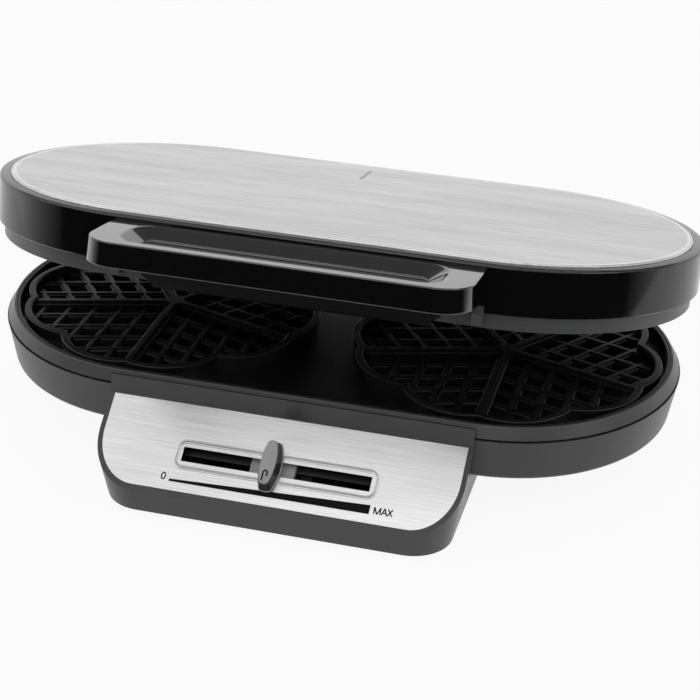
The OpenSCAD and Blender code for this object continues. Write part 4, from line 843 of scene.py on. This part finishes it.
class WAFFLE_OT_set_stage(bpy.types.Operator):
    """Lays the floor, hangs the lamps and sets the camera"""
    bl_idname = "waffle.set_stage"
    bl_label = "Set the stage"

    def execute(self, context):
        studio = context.scene.waffle_studio
        self.lay_floor(studio)
        self.light_room()
        self.stand_cards()
        self.aim_camera(studio)
        context.scene.view_settings.view_transform = "Standard"
        return {"FINISHED"}

    def seen(self, tree):
        """1 for rays from the camera, in reflections and through glass."""
        rays = add(tree, "ShaderNodeLightPath").outputs
        first = add(tree, "ShaderNodeMath", {0: rays["Is Camera Ray"], 1: rays["Is Glossy Ray"]}, operation="MAXIMUM")
        return add(tree, "ShaderNodeMath", {0: first.outputs[0], 1: rays["Is Transmission Ray"]},
                   operation="MAXIMUM").outputs[0]

    def lay_floor(self, studio):
        material = bpy.data.materials.new("floor_paper")
        material.use_nodes = True
        tree = material.node_tree
        tree.nodes.clear()
        grain = pattern(tree, (6, 6, 6))
        paper = add(tree, "ShaderNodeBsdfDiffuse", {
            "Color": (*studio.floor_colour, 1), "Roughness": between(tree, grain, 0.4, 0.6)})
        white = add(tree, "ShaderNodeEmission", {"Color": (1, 1, 1, 1), "Strength": 1.0})
        share = add(tree, "ShaderNodeMath", {0: self.seen(tree), 1: 0.92}, operation="MULTIPLY")
        both = add(tree, "ShaderNodeMixShader", {0: share.outputs[0], 1: paper.outputs[0], 2: white.outputs[0]})
        add(tree, "ShaderNodeOutputMaterial", {"Surface": both.outputs[0]})
        bm = bmesh.new()
        bmesh.ops.create_grid(bm, x_segments=1, y_segments=1, size=6)
        mesh = bpy.data.meshes.new("floor")
        bm.to_mesh(mesh)
        bm.free()
        mesh.materials.append(material)
        floor = bpy.data.objects.new("floor", mesh)
        bpy.context.scene.collection.objects.link(floor)

    def light_room(self):
        world = bpy.data.worlds.new("studio")
        world.use_nodes = True
        tree = world.node_tree
        tree.nodes.clear()
        room = add(tree, "ShaderNodeBackground", {"Color": (1, 1, 1, 1), "Strength": 0.52})
        white = add(tree, "ShaderNodeBackground", {"Color": (1, 1, 1, 1), "Strength": 1.0})
        both = add(tree, "ShaderNodeMixShader", {0: self.seen(tree), 1: room.outputs[0], 2: white.outputs[0]})
        add(tree, "ShaderNodeOutputWorld", {"Surface": both.outputs[0]})
        bpy.context.scene.world = world
        # Name, place, aim, width, depth and watts.
        for name, spot, aim, wide, deep, watts in (
                ("key", (-1.5, -0.4, 0.8), (0, 0, 0.05), 0.9, 0.7, 2.0),
                ("top_strip", (-0.3, 0.75, 1.25), (0, 0, 0.1), 1.6, 0.1, 3.0),
                ("front_strip", (-0.31, -0.9, 1.07), (0, -0.1, 0.1), 1.8, 0.2, 1.5),
                ("fill", (1.4, -0.5, 0.8), (0, 0, 0.05), 0.7, 0.6, 3.0)):
            light = bpy.data.lights.new(name, "AREA")
            light.shape = "RECTANGLE"
            light.size = wide
            light.size_y = deep
            light.energy = watts
            lamp = bpy.data.objects.new(name, light)
            bpy.context.scene.collection.objects.link(lamp)
            lamp.location = spot
            lamp.rotation_euler = (Vector(aim) - Vector(spot)).to_track_quat("-Z", "Y").to_euler()

    def stand_cards(self):
        """Cards that only reflections see: a dark one round the front, a dim and a bright one higher up."""
        material = bpy.data.materials.new("card_black")
        material.use_nodes = True
        tree = material.node_tree
        tree.nodes.clear()
        spot = add(tree, "ShaderNodeTexCoord").outputs["Object"]
        turned = add(tree, "ShaderNodeMapping", {"Vector": spot, "Rotation": (0, 0, math.radians(90 - 10))})
        round_it = add(tree, "ShaderNodeTexGradient", {"Vector": turned.outputs[0]}, gradient_type="RADIAL")
        off = add(tree, "ShaderNodeMath", {0: round_it.outputs["Fac"], 1: 0.5}, operation="SUBTRACT")
        away = add(tree, "ShaderNodeMath", {0: off.outputs[0]}, operation="ABSOLUTE")
        level = add(tree, "ShaderNodeMapRange", {
            "Value": away.outputs[0], "From Min": 0.185, "From Max": 0.27, "To Min": 0.02, "To Max": 1.1})
        glow = add(tree, "ShaderNodeEmission", {"Color": (1, 1, 1, 1), "Strength": level.outputs[0]})
        add(tree, "ShaderNodeOutputMaterial", {"Surface": glow.outputs[0]})
        self.hang_card("front_card", material, 0.62, (-115, 110), [0.002, 0.36], 0.62)

        # A dim card high behind, and a bright one over the front that draws a line along each rounded edge.
        for name, strength, radius, turn, heights, top_radius in (
                ("rear_card", 0.22, 2.0, (115, 245), [0.9, 2.6], 1.3),
                ("edge_card", 4.0, 0.6, (-28, 18), [1.04, 1.16], 0.57)):
            plain = bpy.data.materials.new(name)
            plain.use_nodes = True
            tree = plain.node_tree
            tree.nodes.clear()
            glow = add(tree, "ShaderNodeEmission", {"Color": (1, 1, 1, 1), "Strength": strength})
            add(tree, "ShaderNodeOutputMaterial", {"Surface": glow.outputs[0]})
            self.hang_card(name, plain, radius, turn, heights, top_radius)

    def hang_card(self, name, material, radius, turn, heights, top_radius):
        """A strip of a cone from one height to another, seen from the middle between two turns."""
        bm = bmesh.new()
        rows = []
        for height, wide in zip(heights, (radius, top_radius)):
            rows.append([
                bm.verts.new((wide * math.sin(a), -wide * math.cos(a), height))
                for a in (math.radians(turn[0] + (turn[1] - turn[0]) * i / 64) for i in range(65))])
        for i in range(64):
            bm.faces.new((rows[0][i], rows[0][i + 1], rows[1][i + 1], rows[1][i]))
        mesh = bpy.data.meshes.new(name)
        bm.to_mesh(mesh)
        bm.free()
        mesh.materials.append(material)
        card = bpy.data.objects.new(name, mesh)
        bpy.context.scene.collection.objects.link(card)
        card.visible_camera = False
        card.visible_diffuse = False
        card.visible_transmission = False
        card.visible_shadow = False

    def aim_camera(self, studio):
        a, e, r = studio.azimuth, studio.elevation, studio.roll
        back = Vector((math.sin(a) * math.cos(e), -math.cos(a) * math.cos(e), math.sin(e)))
        right = Vector((math.cos(a), math.sin(a), 0))
        up = back.cross(right)
        turned = right * math.cos(r) + up * math.sin(r)
        upright = up * math.cos(r) - right * math.sin(r)
        data = bpy.data.cameras.new("camera")
        data.lens = studio.focal_length
        data.sensor_width = 36
        camera = bpy.data.objects.new("camera", data)
        bpy.context.scene.collection.objects.link(camera)
        axes = Matrix((turned, upright, back)).transposed().to_4x4()
        camera.matrix_world = Matrix.Translation((0.2280, -0.8859, 0.5278)) @ axes
        bpy.context.scene.camera = camera


class WAFFLE_PT_panel(bpy.types.Panel):
    """Steps and sizes of the waffle maker"""
    bl_label = "Twin heart waffle maker"
    bl_idname = "WAFFLE_PT_panel"
    bl_space_type = "VIEW_3D"
    bl_region_type = "UI"
    bl_category = "Waffle maker"

    def draw(self, context):
        for group in (context.scene.waffle_finishes, context.scene.waffle_studio):
            for name in group.__annotations__:
                self.layout.prop(group, name)
        for step in STEPS:
            self.layout.operator(step.bl_idname)


STEPS = (
    WAFFLE_OT_set_stage, WAFFLE_OT_finish_solids, WAFFLE_OT_cast_ribs, WAFFLE_OT_print_scale,
    WAFFLE_OT_form_knob, WAFFLE_OT_round_handle, WAFFLE_OT_roll_edges, WAFFLE_OT_fit_hardware,
)
CLASSES = (WaffleFinishes, WaffleStudio, *STEPS, WAFFLE_PT_panel)


def register():
    for cls in CLASSES:
        bpy.utils.register_class(cls)
    bpy.types.Scene.waffle_finishes = PointerProperty(type=WaffleFinishes)
    bpy.types.Scene.waffle_studio = PointerProperty(type=WaffleStudio)


def unregister():
    del bpy.types.Scene.waffle_studio
    del bpy.types.Scene.waffle_finishes
    for cls in reversed(CLASSES):
        bpy.utils.unregister_class(cls)


def main():
    register()
    for step in STEPS:
        family, name = step.bl_idname.split(".")
        if getattr(getattr(bpy.ops, family), name)() != {"FINISHED"}:
            raise RuntimeError(f"{step.bl_label} did not finish")


if __name__ == "__main__":
    main()
